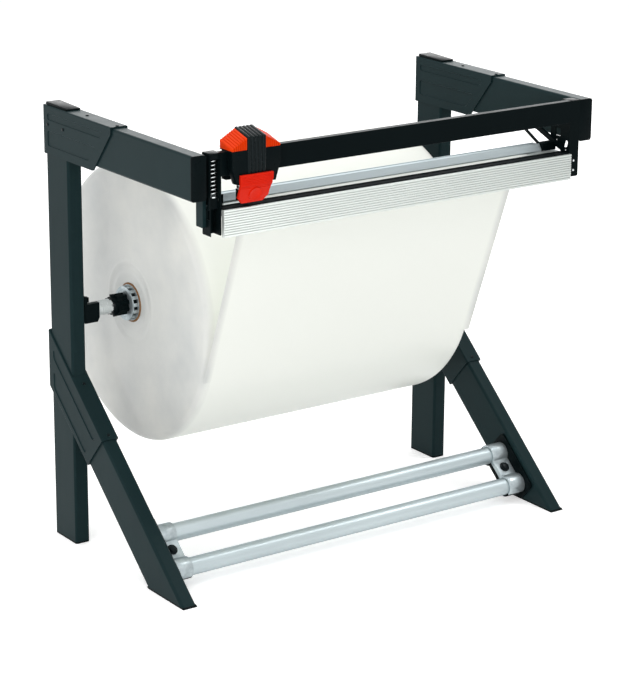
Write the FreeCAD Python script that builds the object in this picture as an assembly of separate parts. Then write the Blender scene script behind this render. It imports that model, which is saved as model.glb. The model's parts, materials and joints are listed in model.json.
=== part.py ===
"""Free-standing cutting stand for a wide roll of wrapping film.

Two side frames of rectangular tube stand on a post and a raking leg each. They
carry a roll on a spindle, a fluted cutting bar with a sprung press rail above
it, and a guide beam along which a cutter carriage slides.

Millimetres. X runs along the roll, Y from the front to the back, Z up from the
floor. While modelling, Y = 0 is the back face of the posts; on export the whole
stand moves so that the origin is the middle of its own footprint box.
"""
import FreeCAD
import Part
import math
import os

V = FreeCAD.Vector

# --- side frames -----------------------------------------------------------
frame_width = 892.0        # over the outer faces of the two side frames
frame_height = 840.0       # floor to the top of the arms
tube_depth = 80.0          # long side of the rectangular tube
tube_width = 30.0          # short side of the rectangular tube
tube_wall = 2.0
tube_corner = 5.0          # outside corner radius
arm_reach = 501.6          # back of the post to the front of the arm
leg_reach = 463.0          # back of the post to the toe of the leg
leg_angle = 41.1           # degrees above the floor
foot_cap_height = 3.0
cap_plug_depth = 16.0
plug_clearance = 0.2
arm_cap_thickness = 3.0

# --- folded gussets over the frame joints ----------------------------------
gusset_sheet = 3.0
top_gusset_bend = 2.7      # outside radius of its folds
leg_gusset_bend = 2.4
top_gusset_length = 240.0
top_gusset_foot = 176.0
top_gusset_drop = 88.0     # below the underside of its top plate
top_gusset_nose = 13.0     # straight part of the front edge
top_gusset_corner = 6.0    # lower front corners of its sides
panel_depth = 1.5
panel_draft = 1.3
panel_corner = 6.0         # corner to where its round starts
panel_corner_steps = 3
panel_mouth = 0.2          # how far the recess tool stands out of the face
top_panel_rise = 15.0      # foot of the gusset to the lower panel
lower_panel_height = 30.0
upper_panel_height = 13.5
panel_gap = 19.0           # between the two panels
panel_back_margin = 12.0
panel_nose_margin = 25.0
leg_gusset_front = 108.0   # front of the post to the cut end, along the leg
leg_panel_rise = 10.0      # lower edge of the gusset to the lower panel
leg_lower_panel = 26.0     # heights of its two panels
leg_upper_panel = 14.5
leg_panel_front = 19.0     # cut end to the panels
leg_panel_back = 15.0      # back of the gusset to the panels
screw_head_radius = 3.0
screw_head_height = 1.4
screw_shank_radius = 1.9
screw_length = 7.0
small_sides = 10           # flats round a screw, a small pin or a small hole
top_screw_front = 6.0      # front edge of the top gusset to its front screw
top_screw_pitch = 105.0
side_screw_back = 14.0     # back of the post to the rear side screw
side_screw_drop = 32.0     # top of the arms to the side screws
side_screw_pitch = 56.0
leg_screw_back = 20.5      # front of the post to the rear screw, along the leg
leg_screw_pitch = 116.0
post_cap_height = 6.0
post_cap_front_height = 3.6
post_cap_inset = 3.0

# --- guide beam and end channels -------------------------------------------
beam_depth = 14.0
beam_height = 42.0
beam_groove_height = 9.0
beam_groove_depth = 3.0
beam_edge_round = 1.2
channel_width = 23.0
channel_depth = 24.6
channel_wall = 2.0
channel_round = 3.0
channel_hole_radius = 2.3
channel_hole_drop = 115.0  # top of the arms to the upper hole in the right one
channel_hole_pitch = 18.4
channel_ear_reach = 30.0   # ear behind the inner wall
channel_ear_top = 44.0     # top of the arms to the top of the ear
channel_ear_foot = 99.0    # top of the arms to its foot at the channel
channel_ear_rise = 23.0    # of its sloping lower edge
ear_window_setback = 1.5   # back of the channel to the window in its ear
ear_window_depth = 14.0
ear_window_top = 57.0      # top of the arms to that window
ear_window_height = 15.0
ear_hole_radius = 2.0
ear_hole_setback = 13.0
ear_hole_drop = 81.0
side_window_setback = 1.5  # window in the left channel's outer wall
side_window_depth = 9.5
side_window_top = 99.0
side_window_height = 17.0
channel_length = 145.5     # from the top of the arms down
channel_cap_skirt = 9.0
channel_cap_plate = 2.0
channel_cap_gap = 0.05
spacer_round = 2.0
spacer_thickness = 7.0
spacer_depth = 21.0
spacer_setback = 12.6      # behind the front of the arms
spacer_top_drop = 12.0     # below the top of the arms
spacer_length = 119.0

# --- fluted cutting bar ----------------------------------------------------
bar_front_lead = 8.4       # how far the fluted face stands in front of the arms
bar_face_height = 48.5
bar_face_thickness = 8.0
bar_top_drop = 100.0       # top of the arms down to the top of the bar
bar_bed_depth = 62.0
bar_bed_thickness = 8.0
bar_end_gap = 0.4
flute_count = 10
flute_depth = 1.0
bar_edge_round = 1.2
bar_fillet = 6.0           # under the bed, behind the fluted wall
bed_lip_radius = 6.0
strip_width = 16.0
strip_depth = 5.0
strip_stand = 0.8
strip_setback = 17.0       # fluted face to the front of the strip
strip_edge_round = 0.6
knife_slot_width = 3.0
knife_slot_depth = 5.0

# --- press rail and its levers ---------------------------------------------
rail_depth = 27.0
rail_height = 12.0
rail_film_gap = 0.4
rail_front_setback = 47.0  # fluted face to the front foot of the rail
rail_foot_chamfer = 1.5
rail_crest_setback = 8.0   # front foot of the rail to its crest
rail_crest_width = 2.0
rail_crest_stand = 1.0
rail_groove_setback = 6.0  # back of the rail to its groove
rail_groove_width = 3.5
rail_groove_depth = 3.0
rail_pad_depth = 14.0
rail_pad_height = 2.0
lever_pivot_setback = 106.6   # front of the arms to the pivot axis
lever_pivot_drop = 57.0       # top of the arms to the pivot axis
pivot_pin_radius = 4.0
pivot_running = 0.05
pivot_boss_radius = 8.5
pivot_head_radius = 6.0
pivot_head_length = 2.4
pivot_head_gap = 0.4
outer_cheek = 5.0
inner_cheek = 3.0
outer_cheek_height = 9.0
inner_cheek_height = 5.0
cheek_channel_gap = 2.0
lever_block_length = 25.5  # at the left; the right one also spans the spacer's width
lever_block_depth = 16.0
lever_block_lead = 2.0     # in front of the rail
lever_block_stand = 3.0    # above the rail
lift_pin_radius = 2.5
lift_pin_setback = 12.6    # front of the arms to the lift pin
lift_pin_drop = 93.0       # top of the arms to the lift pin
lift_pin_end_gap = 0.5
lift_angle = 7.5           # degrees the press rail opens
lift_slot_play = 1.5
plunger_height = 20.0
plunger_depth = 13.0
plunger_play = 1.0
plunger_foot = 5.5         # lift pin to the foot of the plunger
seat_height = 2.0
spring_radius = 8.0        # to the wire's centre
spring_wire = 1.1          # wire radius
spring_turns = 7
spring_sides = 10          # straight runs in one turn
spring_faces = 5           # flats round the wire

# --- cutter carriage -------------------------------------------------------
carriage_width = 99.0
carriage_left = 12.0       # gap to the left end channel as parked
carriage_depth = 40.0
carriage_front_lead = 16.4  # in front of the arms
carriage_play = 0.5
carriage_front_drop = 57.0  # top of the arms to the foot of the front wall
carriage_back_drop = 52.0
carriage_hook = 4.0        # how far the hook reaches under the beam
carriage_back_inset = 4.0
carriage_deck = 1.5
carriage_foot_cut = 10.0   # slanted lower corners of the front wall
carriage_waist_left = 30.0  # top of the arms to where the left corner starts
carriage_waist_right = 26.0
carriage_eave = 6.0        # top of the arms to the front eave
carriage_crest = 23.0      # top of the arms to the front of the crest
roof_pitch = 11.0          # rise of the roof from front to back
roof_rib_pitch = 4.4
roof_rib_depth = 0.8
grip_width = 38.0
grip_stand = 2.0
grip_rib_count = 5
grip_rib_depth = 1.6
grip_corner = 3.0
glide_thickness = 2.5
glide_length = 22.0
glide_inset = 8.0
glide_play = 0.5

# --- blade unit ------------------------------------------------------------
guard_width_top = 67.0
guard_width_foot = 48.0
guard_top_drop = 40.0      # top of the arms to the top of the guard
guard_height = 52.0
guard_thickness = 5.0
guard_lean = 13.0          # how far the foot leans back under the beam
guard_bend_drop = 19.0     # top of the guard to its bend
guard_corner_height = 11.0
guard_notch = 5.0          # step in the right edge
guard_notch_top = 10.0     # top of the guard to the notch
guard_notch_foot = 31.0
guard_rib_count = 9
guard_rib_pitch = 2.6
guard_rib_start = 3.4
guard_rib_depth = 0.6
guard_gap = 0.4
guard_offset = -2.0        # middle of the guard from the middle of the carriage
button_radius = 13.0
button_stand = 2.0
button_travel = 2.0
button_drop = 36.0         # top of the guard to the button's centre
button_running = 0.3
button_seat = 1.0          # back of the guard to the back of the button
button_room = 1.5          # left behind the pressed button
holder_width = 62.0
holder_height = 20.0
holder_rise = 6.0          # foot of the guard to the foot of the holder
guide_pin_radius = 2.0
guide_pin_running = 0.05
guide_pin_inset = 6.0      # side of the holder to the pins
guide_pin_setback = 11.5   # back of the guard's top to the pins
guide_pin_end_gap = 0.6    # foot of the pins to the guard's back
guide_pin_root = 12.0      # in the carriage's front wall
blade_width = 34.0
blade_thickness = 0.8
blade_slope = 14.0
blade_seat = 2.0           # top of the holder to the top of the blade
blade_point_gap = 1.2      # blade point above the knife strip at rest

# --- spindle, chucks and roll ----------------------------------------------
spindle_setback = 55.0     # back of the post to the spindle axis
spindle_height = 453.5
shaft_radius = 14.3
shaft_chamfer = 1.0
shaft_end_gap = 2.0
cradle_length = 31.0
cradle_floor = 3.4
cradle_running = 0.3
cradle_lip = 19.0          # spindle axis to the top of the cradle
cradle_tab_height = 15.0
cradle_tab_thickness = 5.0
cradle_tab_depth = 10.0
cradle_tab_round = 2.0
cradle_chamfer = 8.0
roll_radius = 270.0
roll_left_gap = 113.5      # side frame to the roll, with room for a hub and a chuck
roll_right_gap = 98.5
core_radius = 38.0
core_wall = 5.0
core_stand = 1.0           # core beyond the film on each side
chuck_face_gap = 0.2       # core to the chuck's flange
chuck_flange_length = 4.0
chuck_flange_radius = 37.0
chuck_crown_length = 9.0
chuck_crown_radius = 33.0
chuck_tooth_count = 16
chuck_tooth_depth = 3.0
chuck_plug_radius = 25.0
jaw_count = 8
jaw_length = 40.0
jaw_width = 5.0
jaw_gap = 0.3
hub_bore_gap = 0.05
hub_length = 30.0
hub_collar_radius = 17.5
hub_waist_radius = 20.0
hub_lobe_radius = 6.0
hub_lobe_count = 5
hub_lobe_setback = 4.0
hub_lobe_sides = 12
hub_collar_length = 8.0
hub_wing_radius = 19.0
hub_wing_width = 8.0
hub_wing_count = 3
hub_gap = 0.3

# --- film web --------------------------------------------------------------
film_thickness = 1.0
film_roll_gap = 0.4
film_end_setback = 34.0    # fluted face to the cut edge of the film

# --- cross tubes and clamps ------------------------------------------------
rod_radius = 17.0
rod_wall = 2.0
rod_pitch = 74.0           # between the two tubes, along the leg
rod_place = 88.0           # toe centre to the middle of the clamp, along the leg
clamp_length = 38.0
clamp_wall = 4.0
clamp_web = 9.0
clamp_split = 0.4
base_thickness = 4.0
base_width = 62.0
base_length = 130.0
base_corner = 8.0
base_floor_gap = 5.0
bolt_head_radius = 7.5
bolt_head_sides = 6
bolt_head_height = 5.0
bolt_shank_radius = 4.0
washer_radius = 10.5
washer_height = 1.2
washer_sides = 16

# --- floor fixing holes in the back of the posts ---------------------------
wall_hole_count = 2
wall_hole_radius = 4.5
wall_hole_low = 120.0
wall_hole_pitch = 560.0

# --- places worked out from the sizes above --------------------------------
half_width = frame_width / 2
inner_face = half_width - tube_width
arm_top = frame_height
arm_bottom = frame_height - tube_depth
arm_front = -arm_reach
post_front = -tube_depth
leg_dir = V(0, math.cos(math.radians(leg_angle)), math.sin(math.radians(leg_angle)))
leg_normal = V(0, -leg_dir.z, leg_dir.y)
leg_base = V(0, tube_depth / leg_dir.z / 2 - leg_reach, 0)
leg_at_post = (post_front - leg_base.y) / leg_dir.y
side_middle = -half_width + tube_width / 2
left_outer = inner_face - spacer_thickness   # outer wall of the left channel
left_inner = left_outer - channel_width
right_outer = inner_face
right_inner = right_outer - channel_width
channel_bottom = arm_top - channel_length
beam_back = arm_front + beam_depth
beam_bottom = arm_top - beam_height
bar_face = arm_front - bar_front_lead
bar_top = arm_top - bar_top_drop
bar_back = bar_face + bar_bed_depth
bar_x0 = -left_inner + bar_end_gap
bar_x1 = right_inner - bar_end_gap
strip_front = bar_face + strip_setback
strip_top = bar_top + strip_stand
knife_y = strip_front + strip_width / 2
pivot_y = arm_front + lever_pivot_setback
pivot_z = arm_top - lever_pivot_drop
lift_pin_y = arm_front + lift_pin_setback
lift_pin_z = arm_top - lift_pin_drop
rail_half = left_inner - cheek_channel_gap - lever_block_length
rail_front = bar_face + rail_front_setback
rail_back = rail_front + rail_depth
rail_bottom = bar_top + film_thickness + rail_film_gap
carriage_x0 = -left_inner + carriage_left
carriage_x1 = carriage_x0 + carriage_width
carriage_x = (carriage_x0 + carriage_x1) / 2
carriage_front = arm_front - carriage_front_lead
carriage_back = carriage_front + carriage_depth
deck_top = arm_top + carriage_play + carriage_deck
holder_foot = arm_top - guard_top_drop - guard_height + holder_rise
spindle_y = -spindle_setback
roll_x0 = roll_left_gap - inner_face
roll_x1 = inner_face - roll_right_gap
guard_x = carriage_x + guard_offset
chuck_face = roll_x0 - core_stand - chuck_face_gap
clamp_mid = leg_base + leg_dir * rod_place
clamp_x = -inner_face + base_thickness
bolt_x = clamp_x + clamp_length / 2
footprint_front = carriage_front - max(grip_stand, guard_gap + guard_thickness)
footprint_back = spindle_y + roll_radius
origin_shift = V(0, -(footprint_front + footprint_back) / 2, 0)


# --- small helpers ---------------------------------------------------------
def box(x0, x1, y0, y1, z0, z1):
    """Axis-aligned block between the given limits."""
    return Part.makeBox(x1 - x0, y1 - y0, z1 - z0, V(x0, y0, z0))


def rod(p0, p1, radius):
    """Round bar from point p0 to point p1."""
    axis = p1 - p0
    return Part.makeCylinder(radius, axis.Length, p0, axis)


def fine_rod(p0, p1, radius, sides=small_sides):
    """Many-sided bar for a small round detail."""
    run = p1 - p0
    side = run.cross(V(1, 1, 0)).normalize() * radius
    up = run.cross(side).normalize() * radius
    corners = []
    for index in range(sides):
        turn = 2 * math.pi * index / sides
        corners.append(p0 + side * math.cos(turn) + up * math.sin(turn))
    return Part.Face(Part.makePolygon(corners + corners[:1])).extrude(run)


def rod_x(x0, x1, y, z, radius):
    """Round bar along X."""
    return rod(V(x0, y, z), V(x1, y, z), radius)


def prism_x(points, x0, x1):
    """Polygon given as (y, z) pairs, extruded along X."""
    corners = [V(x0, y, z) for y, z in points]
    face = Part.Face(Part.makePolygon(corners + corners[:1]))
    return face.extrude(V(x1 - x0, 0, 0))


def prism_y(points, y0, y1):
    """Polygon given as (x, z) pairs, extruded along Y."""
    corners = [V(x, y0, z) for x, z in points]
    face = Part.Face(Part.makePolygon(corners + corners[:1]))
    return face.extrude(V(0, y1 - y0, 0))


def fuse(shapes):
    """One solid from several that touch or overlap."""
    first, rest = shapes[0], shapes[1:]
    return first.multiFuse(rest).removeSplitter() if rest else first


def cut(shape, tools):
    """Shape less every tool."""
    for tool in tools:
        shape = shape.cut(tool)
    return shape


def edges_along(shape, axis, test=None):
    """Straight edges parallel to axis whose middle passes the test."""
    found = []
    for edge in shape.Edges:
        if not isinstance(edge.Curve, Part.Line):
            continue
        direction = edge.Vertexes[-1].Point - edge.Vertexes[0].Point
        parallel = direction.normalize().cross(axis).Length < 1e-6
        if parallel and (test is None or test(edge.CenterOfMass)):
            found.append(edge)
    return found


def rounded_box(x0, x1, y0, y1, z0, z1, axis, radius):
    """Block with the four edges along axis rounded."""
    block = box(x0, x1, y0, y1, z0, z1)
    return block.makeFillet(radius, edges_along(block, axis))


def vee(start, end, depth, normal):
    """Square bar on edge, for cutting a V-shaped groove of the given depth."""
    side = (end - start).cross(normal).normalize() * depth
    up = V(normal.x, normal.y, normal.z).normalize() * depth
    corners = [start + up, start + side, start - up, start - side]
    return Part.Face(Part.makePolygon(corners + corners[:1])).extrude(end - start)


def mirrored(shape):
    """The same piece on the other side frame."""
    return shape.mirror(V(0, 0, 0), V(1, 0, 0))


def save(node, *shapes):
    """Write one node, moved so that the origin is the footprint's middle."""
    solids = [solid for shape in shapes for solid in shape.Solids]
    part = solids[0] if len(solids) == 1 else Part.makeCompound(solids)
    part = part.copy()
    part.translate(origin_shift)
    part.exportStep("parts/%s.step" % node)


def save_pair(name, shape):
    """Write a left piece and its mirror image."""
    save("left_" + name, shape)
    save("right_" + name, mirrored(shape))


def save_both(name, shape):
    """Write a left piece and its mirror image as one node."""
    save(name, shape, mirrored(shape))


def rims(shape):
    """Round edges of a piece."""
    return [edge for edge in shape.Edges if edge.Closed and isinstance(edge.Curve, Part.Circle)]


# --- side frames -----------------------------------------------------------
def frame_bar(length):
    """Solid outline of the rectangular tube on Z = 0, long side on Y."""
    return rounded_box(-tube_width / 2, tube_width / 2, -tube_depth / 2, tube_depth / 2,
                       0, length, V(0, 0, 1), tube_corner)


def frame_tube(length):
    """Rectangular tube standing on Z = 0, centred on X and Y, long side on Y."""
    half_x = tube_width / 2 - tube_wall
    half_y = tube_depth / 2 - tube_wall
    return frame_bar(length).cut(box(-half_x, half_x, -half_y, half_y, -1, length + 1))


def make_post():
    """Upright tube, open at the foot for its cap, with fixing holes in its back."""
    post = frame_tube(arm_top - foot_cap_height)
    post.translate(V(side_middle, -tube_depth / 2, foot_cap_height))
    holes = []
    for step in range(wall_hole_count):
        z = wall_hole_low + step * wall_hole_pitch
        holes.append(rod(V(side_middle, -2 * tube_wall, z), V(side_middle, 1, z), wall_hole_radius))
    return cut(post, holes)


def make_arm():
    """Tube that reaches forward from the post."""
    arm = frame_tube(arm_reach - tube_depth - arm_cap_thickness)
    arm.rotate(V(0, 0, 0), V(1, 0, 0), 90)
    arm.translate(V(side_middle, post_front, arm_top - tube_depth / 2))
    pin = rod_x(-inner_face - 2 * tube_wall, -inner_face + 1, pivot_y, pivot_z, pivot_pin_radius)
    return arm.cut(pin)


def along_leg(shape):
    """Lay an upright piece that is centred on X = Y = 0 along the leg."""
    laid = shape.copy()
    laid.rotate(V(0, 0, 0), V(1, 0, 0), leg_angle - 90)
    laid.translate(leg_base - leg_dir * leg_reach + V(side_middle, 0, 0))
    return laid


def leg_band(inset, z0, z1):
    """Solid band of the leg, smaller by inset all round, between two heights."""
    half_x, half_y = tube_width / 2 - inset, tube_depth / 2 - inset
    bar = along_leg(box(-half_x, half_x, -half_y, half_y, 0, 2 * leg_reach))
    return bar.common(box(-half_width, -inner_face, -2 * leg_reach, post_front, z0, z1))


def make_leg():
    """Raking tube, cut level at the floor cap and upright at the post."""
    leg = along_leg(frame_tube(2 * leg_reach))
    return leg.common(box(-half_width, -inner_face, -2 * leg_reach, post_front, foot_cap_height, arm_bottom))


def make_foot_caps():
    """Moulded caps in the open feet of the left post and leg."""
    inset = tube_wall + plug_clearance
    top = foot_cap_height + cap_plug_depth
    post_plate = rounded_box(-half_width, -inner_face, post_front, 0, 0, foot_cap_height,
                             V(0, 0, 1), tube_corner)
    post_plug = box(-half_width + inset, -inner_face - inset, post_front + inset, -inset,
                    foot_cap_height, top)
    leg_plate = leg_band(0, 0, foot_cap_height)
    leg_plug = leg_band(inset, foot_cap_height, top)
    return [fuse([post_plate, post_plug]), fuse([leg_plate, leg_plug])]


def make_arm_cap():
    """Moulded cap in the front end of the left arm."""
    inset = tube_wall + plug_clearance
    plug_front = arm_front + arm_cap_thickness
    plate = rounded_box(-half_width, -inner_face, arm_front, plug_front, arm_bottom, arm_top,
                        V(0, 1, 0), tube_corner)
    plug = box(-half_width + inset, -inner_face - inset, plug_front, plug_front + cap_plug_depth,
               arm_bottom + inset, arm_top - inset)
    return fuse([plate, plug])


# --- gussets ---------------------------------------------------------------
def soft_outline(points):
    """Anticlockwise outline of (y, z) pairs with each corner turned in short steps."""
    soft = []
    for index, (y, z) in enumerate(points):
        here = V(0, y, z)
        before, after = [V(0, *points[(index + step) % len(points)]) for step in (-1, 1)]
        back, ahead = (before - here).normalize(), (after - here).normalize()
        corner = math.degrees(back.getAngle(ahead))
        start = here + back * panel_corner
        centre = start + V(0, back.z, -back.y) * (panel_corner * math.tan(math.radians(corner / 2)))
        for step in range(panel_corner_steps + 1):
            turn = FreeCAD.Rotation(V(1, 0, 0), (180 - corner) * step / panel_corner_steps)
            soft.append(centre + turn.multVec(start - centre))
    return soft


def recess(points, x_face):
    """Drafted recess in an outer face, its outline given as anticlockwise (y, z) pairs."""
    outline = soft_outline(points)
    mouth = [point + V(x_face - panel_mouth, 0, 0) for point in outline]
    floor = []
    for index, point in enumerate(outline):
        run_in = (point - outline[index - 1]).normalize()
        run_out = (outline[(index + 1) % len(outline)] - point).normalize()
        inward_in, inward_out = V(0, -run_in.z, run_in.y), V(0, -run_out.z, run_out.y)
        inward = (inward_in + inward_out) * (panel_draft / (1 + inward_in.dot(inward_out)))
        floor.append(point + inward + V(x_face + panel_depth, 0, 0))
    sides = [[mouth[index - 1], mouth[index], floor[index], floor[index - 1]] for index in range(len(mouth))]
    faces = [Part.Face(Part.makePolygon(ring + ring[:1])) for ring in [mouth, floor] + sides]
    shell = Part.makeShell(faces)
    shell.sewShape()
    return Part.makeSolid(shell)


def top_gusset_sites():
    """Screws of the top gusset as (head seat, inward direction)."""
    top = arm_top + gusset_sheet
    side = -half_width - gusset_sheet
    front = -top_gusset_length + top_screw_front
    height = arm_top - side_screw_drop
    return [(V(side_middle, front, top), V(0, 0, -1)),
            (V(side_middle, front + top_screw_pitch, top), V(0, 0, -1)),
            (V(side, -side_screw_back, height), V(1, 0, 0)),
            (V(side, -side_screw_back - side_screw_pitch, height), V(1, 0, 0))]


def leg_gusset_sites():
    """Screws of the leg gusset as (head seat, inward direction)."""
    face = leg_base + leg_normal * (tube_depth / 2 + gusset_sheet) + V(side_middle, 0, 0)
    rear = (post_front - face.y) / leg_dir.y - leg_screw_back
    places = (rear, rear - leg_screw_pitch)
    return [(face + leg_dir * place, leg_normal * -1) for place in places]


def make_screw(site, direction):
    """Flat-head screw seated on its sheet."""
    head = fine_rod(site - direction * screw_head_height, site, screw_head_radius)
    return fuse([head, fine_rod(site, site + direction * screw_length, screw_shank_radius)])


def screw_hole(site, direction):
    """Space of a screw's shank."""
    return fine_rod(site - direction, site + direction * (screw_length + 1), screw_shank_radius)


def top_panels(x_face):
    """The two recesses in the top gusset's face."""
    foot = arm_top - top_gusset_drop
    lower = foot + top_panel_rise
    upper = lower + lower_panel_height + panel_gap
    slope = (top_gusset_length - top_gusset_foot) / (gusset_sheet + top_gusset_drop - top_gusset_nose)
    panels = []
    for z0, z1 in ((lower, lower + lower_panel_height), (upper, upper + upper_panel_height)):
        low_y, high_y = [panel_nose_margin - top_gusset_foot - slope * (z - foot) for z in (z0, z1)]
        outline = [(-panel_back_margin, z0), (-panel_back_margin, z1), (high_y, z1), (low_y, z0)]
        panels.append(recess(outline, x_face))
    return panels


def make_top_gusset():
    """Sheet folded over the corner of post and arm, with two sunk panels a side."""
    top = arm_top + gusset_sheet
    foot = arm_top - top_gusset_drop
    outline = [(gusset_sheet, foot), (gusset_sheet, top), (-top_gusset_length, top),
               (-top_gusset_length, top - top_gusset_nose), (-top_gusset_foot, foot)]
    x0, x1 = -half_width - gusset_sheet, -inner_face + gusset_sheet
    shell = prism_x(outline, x0, x1)
    corners = edges_along(shell, V(1, 0, 0), lambda p: p.z < foot + 1 and p.y < post_front)
    shell = shell.makeFillet(top_gusset_corner, corners)
    rim = edges_along(shell, V(0, 1, 0), lambda p: p.z > top - 1)
    rim += edges_along(shell, V(0, 0, 1), lambda p: p.y > gusset_sheet - 1)
    shell = shell.makeFillet(top_gusset_bend, rim)
    shell = shell.cut(box(-half_width, -inner_face, -2 * arm_reach, 0, 0, arm_top))
    inner_panels = []
    for panel in top_panels(x0):
        inner = mirrored(panel)
        inner.translate(V(2 * side_middle, 0, 0))
        inner_panels.append(inner)
    return cut(shell, top_panels(x0) + inner_panels)


def leg_point(along, across):
    """Point on the leg's middle plane as a (y, z) pair."""
    point = leg_base + leg_dir * along + leg_normal * across
    return point.y, point.z


def leg_line_to(y, across):
    """Distance along the leg at which a line parallel to it reaches y."""
    start = leg_base + leg_normal * across
    return (y - start.y) / leg_dir.y


def make_leg_gusset():
    """Sleeve over the joint of post and leg, cut square across the leg."""
    x0, x1 = -half_width - gusset_sheet, -inner_face + gusset_sheet
    half = tube_depth / 2 + gusset_sheet
    front = leg_at_post - leg_gusset_front
    outline = [leg_point(front, -half), leg_point(front, half),
               leg_point(leg_line_to(gusset_sheet, half), half),
               leg_point(leg_line_to(gusset_sheet, -half), -half)]
    sleeve = prism_x(outline, x0, x1)
    sleeve = sleeve.makeFillet(leg_gusset_bend, edges_along(sleeve, leg_dir))
    post_room = box(-half_width, -inner_face, post_front, 0, 0, frame_height)
    leg_room = leg_band(0, 0, frame_height)
    panels = []
    back = gusset_sheet - leg_panel_back
    low = leg_panel_rise - half
    for height in (leg_lower_panel, leg_upper_panel):
        high = low + height
        corners = [leg_point(front + leg_panel_front, low), leg_point(leg_line_to(back, low), low),
                   leg_point(leg_line_to(back, high), high), leg_point(front + leg_panel_front, high)]
        panels.append(recess(corners, x0))
        low = high + panel_gap
    return cut(sleeve, [post_room, leg_room] + panels)


def make_post_cap():
    """Low moulded cap on the gusset above the left post."""
    z0 = arm_top + gusset_sheet
    profile = [(-post_cap_inset, z0), (-post_cap_inset, z0 + post_cap_height),
               (post_front, z0 + post_cap_front_height), (post_front, z0)]
    return prism_x(profile, -half_width, -inner_face)


def make_side_frames():
    """All pieces of the two side frames, with their screws and caps."""
    top_sites, leg_sites = top_gusset_sites(), leg_gusset_sites()
    top_holes = [screw_hole(*site) for site in top_sites]
    leg_holes = [screw_hole(*site) for site in leg_sites]
    save_pair("post", cut(make_post(), top_holes[2:]))
    save_pair("arm", cut(make_arm(), top_holes[:2]))
    save_pair("leg", cut(make_leg(), leg_holes))
    save_pair("top_gusset", cut(make_top_gusset(), top_holes))
    save_pair("leg_gusset", cut(make_leg_gusset(), leg_holes))
    save_both("post_caps", make_post_cap())
    save_both("arm_caps", make_arm_cap())
    save_both("foot_caps", Part.makeCompound(make_foot_caps()))
    save_both("gusset_screws", Part.makeCompound([make_screw(*site) for site in top_sites + leg_sites]))


# --- guide beam, end channels and cutting bar ------------------------------
def make_beam():
    """Extruded guide beam with a groove along its back."""
    beam = rounded_box(-left_inner, right_inner, arm_front, beam_back, beam_bottom, arm_top,
                       V(1, 0, 0), beam_edge_round)
    middle = (beam_bottom + arm_top) / 2
    groove = box(-left_inner - 1, right_inner + 1, beam_back - beam_groove_depth, beam_back + 1,
                 middle - beam_groove_height / 2, middle + beam_groove_height / 2)
    return beam.cut(groove)


def lift_path():
    """Places of the lift pin with the rail closed and open."""
    closed = V(0, lift_pin_y, lift_pin_z)
    arm = closed - V(0, pivot_y, pivot_z)
    turn = math.radians(-lift_angle)
    opened = V(0, arm.y * math.cos(turn) - arm.z * math.sin(turn) + pivot_y,
               arm.y * math.sin(turn) + arm.z * math.cos(turn) + pivot_z)
    return closed, opened


def lift_slot(x0, x1, radius):
    """Slot round the lift pin's whole travel."""
    closed, opened = lift_path()
    run = (opened - closed).normalize()
    side = V(0, -run.z, run.y) * radius
    corners = [(p.y, p.z) for p in (closed + side, opened + side, opened - side, closed - side)]
    ends = [rod_x(x0, x1, p.y, p.z, radius) for p in (closed, opened)]
    return fuse([prism_x(corners, x0, x1)] + ends)


def channel_windows(outer, inner, front_wall):
    """Slot for the lift pin, windows and holes of a channel."""
    x0, x1 = -outer, -inner
    back = arm_front + channel_depth
    tools = [lift_slot(x0 - 1, x1 + 1, lift_pin_radius + lift_slot_play)]
    y, z = back + ear_window_setback, arm_top - ear_window_top
    tools.append(box(x1 - channel_wall - 1, x1 + 1, y, y + ear_window_depth, z - ear_window_height, z))
    y, z = back + ear_hole_setback, arm_top - ear_hole_drop
    tools.append(fine_rod(V(x1 - channel_wall - 1, y, z), V(x1 + 1, y, z), ear_hole_radius))
    if front_wall:
        x, upper = (x0 + x1) / 2, arm_top - channel_hole_drop
        tools += [fine_rod(V(x, arm_front - 1, z), V(x, arm_front + channel_wall + 1, z), channel_hole_radius)
                  for z in (upper, upper - channel_hole_pitch)]
    else:
        y, z = arm_front + side_window_setback, arm_top - side_window_top
        tools.append(box(x0 - 1, x0 + channel_wall + 1, y, y + side_window_depth, z - side_window_height, z))
    return tools


def make_channel(outer, inner, front_wall):
    """Upright channel with an ear behind its inner wall, closed at its front or its back."""
    x0, x1 = -outer, -inner
    back = arm_front + channel_depth
    top = arm_top - channel_cap_plate
    body = box(x0, x1, arm_front, back, channel_bottom, top)
    feet = edges_along(body, V(0, 1, 0), lambda p: p.z < channel_bottom + 1)
    body = body.makeFillet(channel_round, feet)
    y0, y1 = (arm_front + channel_wall, back + 1) if front_wall else (arm_front - 1, back - channel_wall)
    hollow = box(x0 + channel_wall, x1 - channel_wall, y0, y1, channel_bottom - 1, top + 1)
    ear_back = back + channel_ear_reach
    ear_top, ear_foot = arm_top - channel_ear_top, arm_top - channel_ear_foot
    ear = prism_x([(back - channel_wall, ear_foot), (back, ear_foot), (ear_back, ear_foot + channel_ear_rise),
                   (ear_back, ear_top), (back - channel_wall, ear_top)], x1 - channel_wall, x1)
    return cut(fuse([body.cut(hollow), ear]), channel_windows(outer, inner, front_wall))


def make_channel_cap(outer, inner, front_wall):
    """Plug that closes the top of an end channel and stops the spring."""
    x0, x1 = -outer, -inner
    back = arm_front + channel_depth
    z = arm_top - channel_cap_plate
    plate = box(x0, x1, arm_front, back, z, arm_top)
    inset = channel_wall + channel_cap_gap
    y0, y1 = (arm_front + inset, back - 1) if front_wall else (arm_front + 1, back - inset)
    skirt = box(x0 + inset, x1 - inset, y0, y1, z - channel_cap_skirt, z)
    return fuse([plate, skirt])


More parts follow.
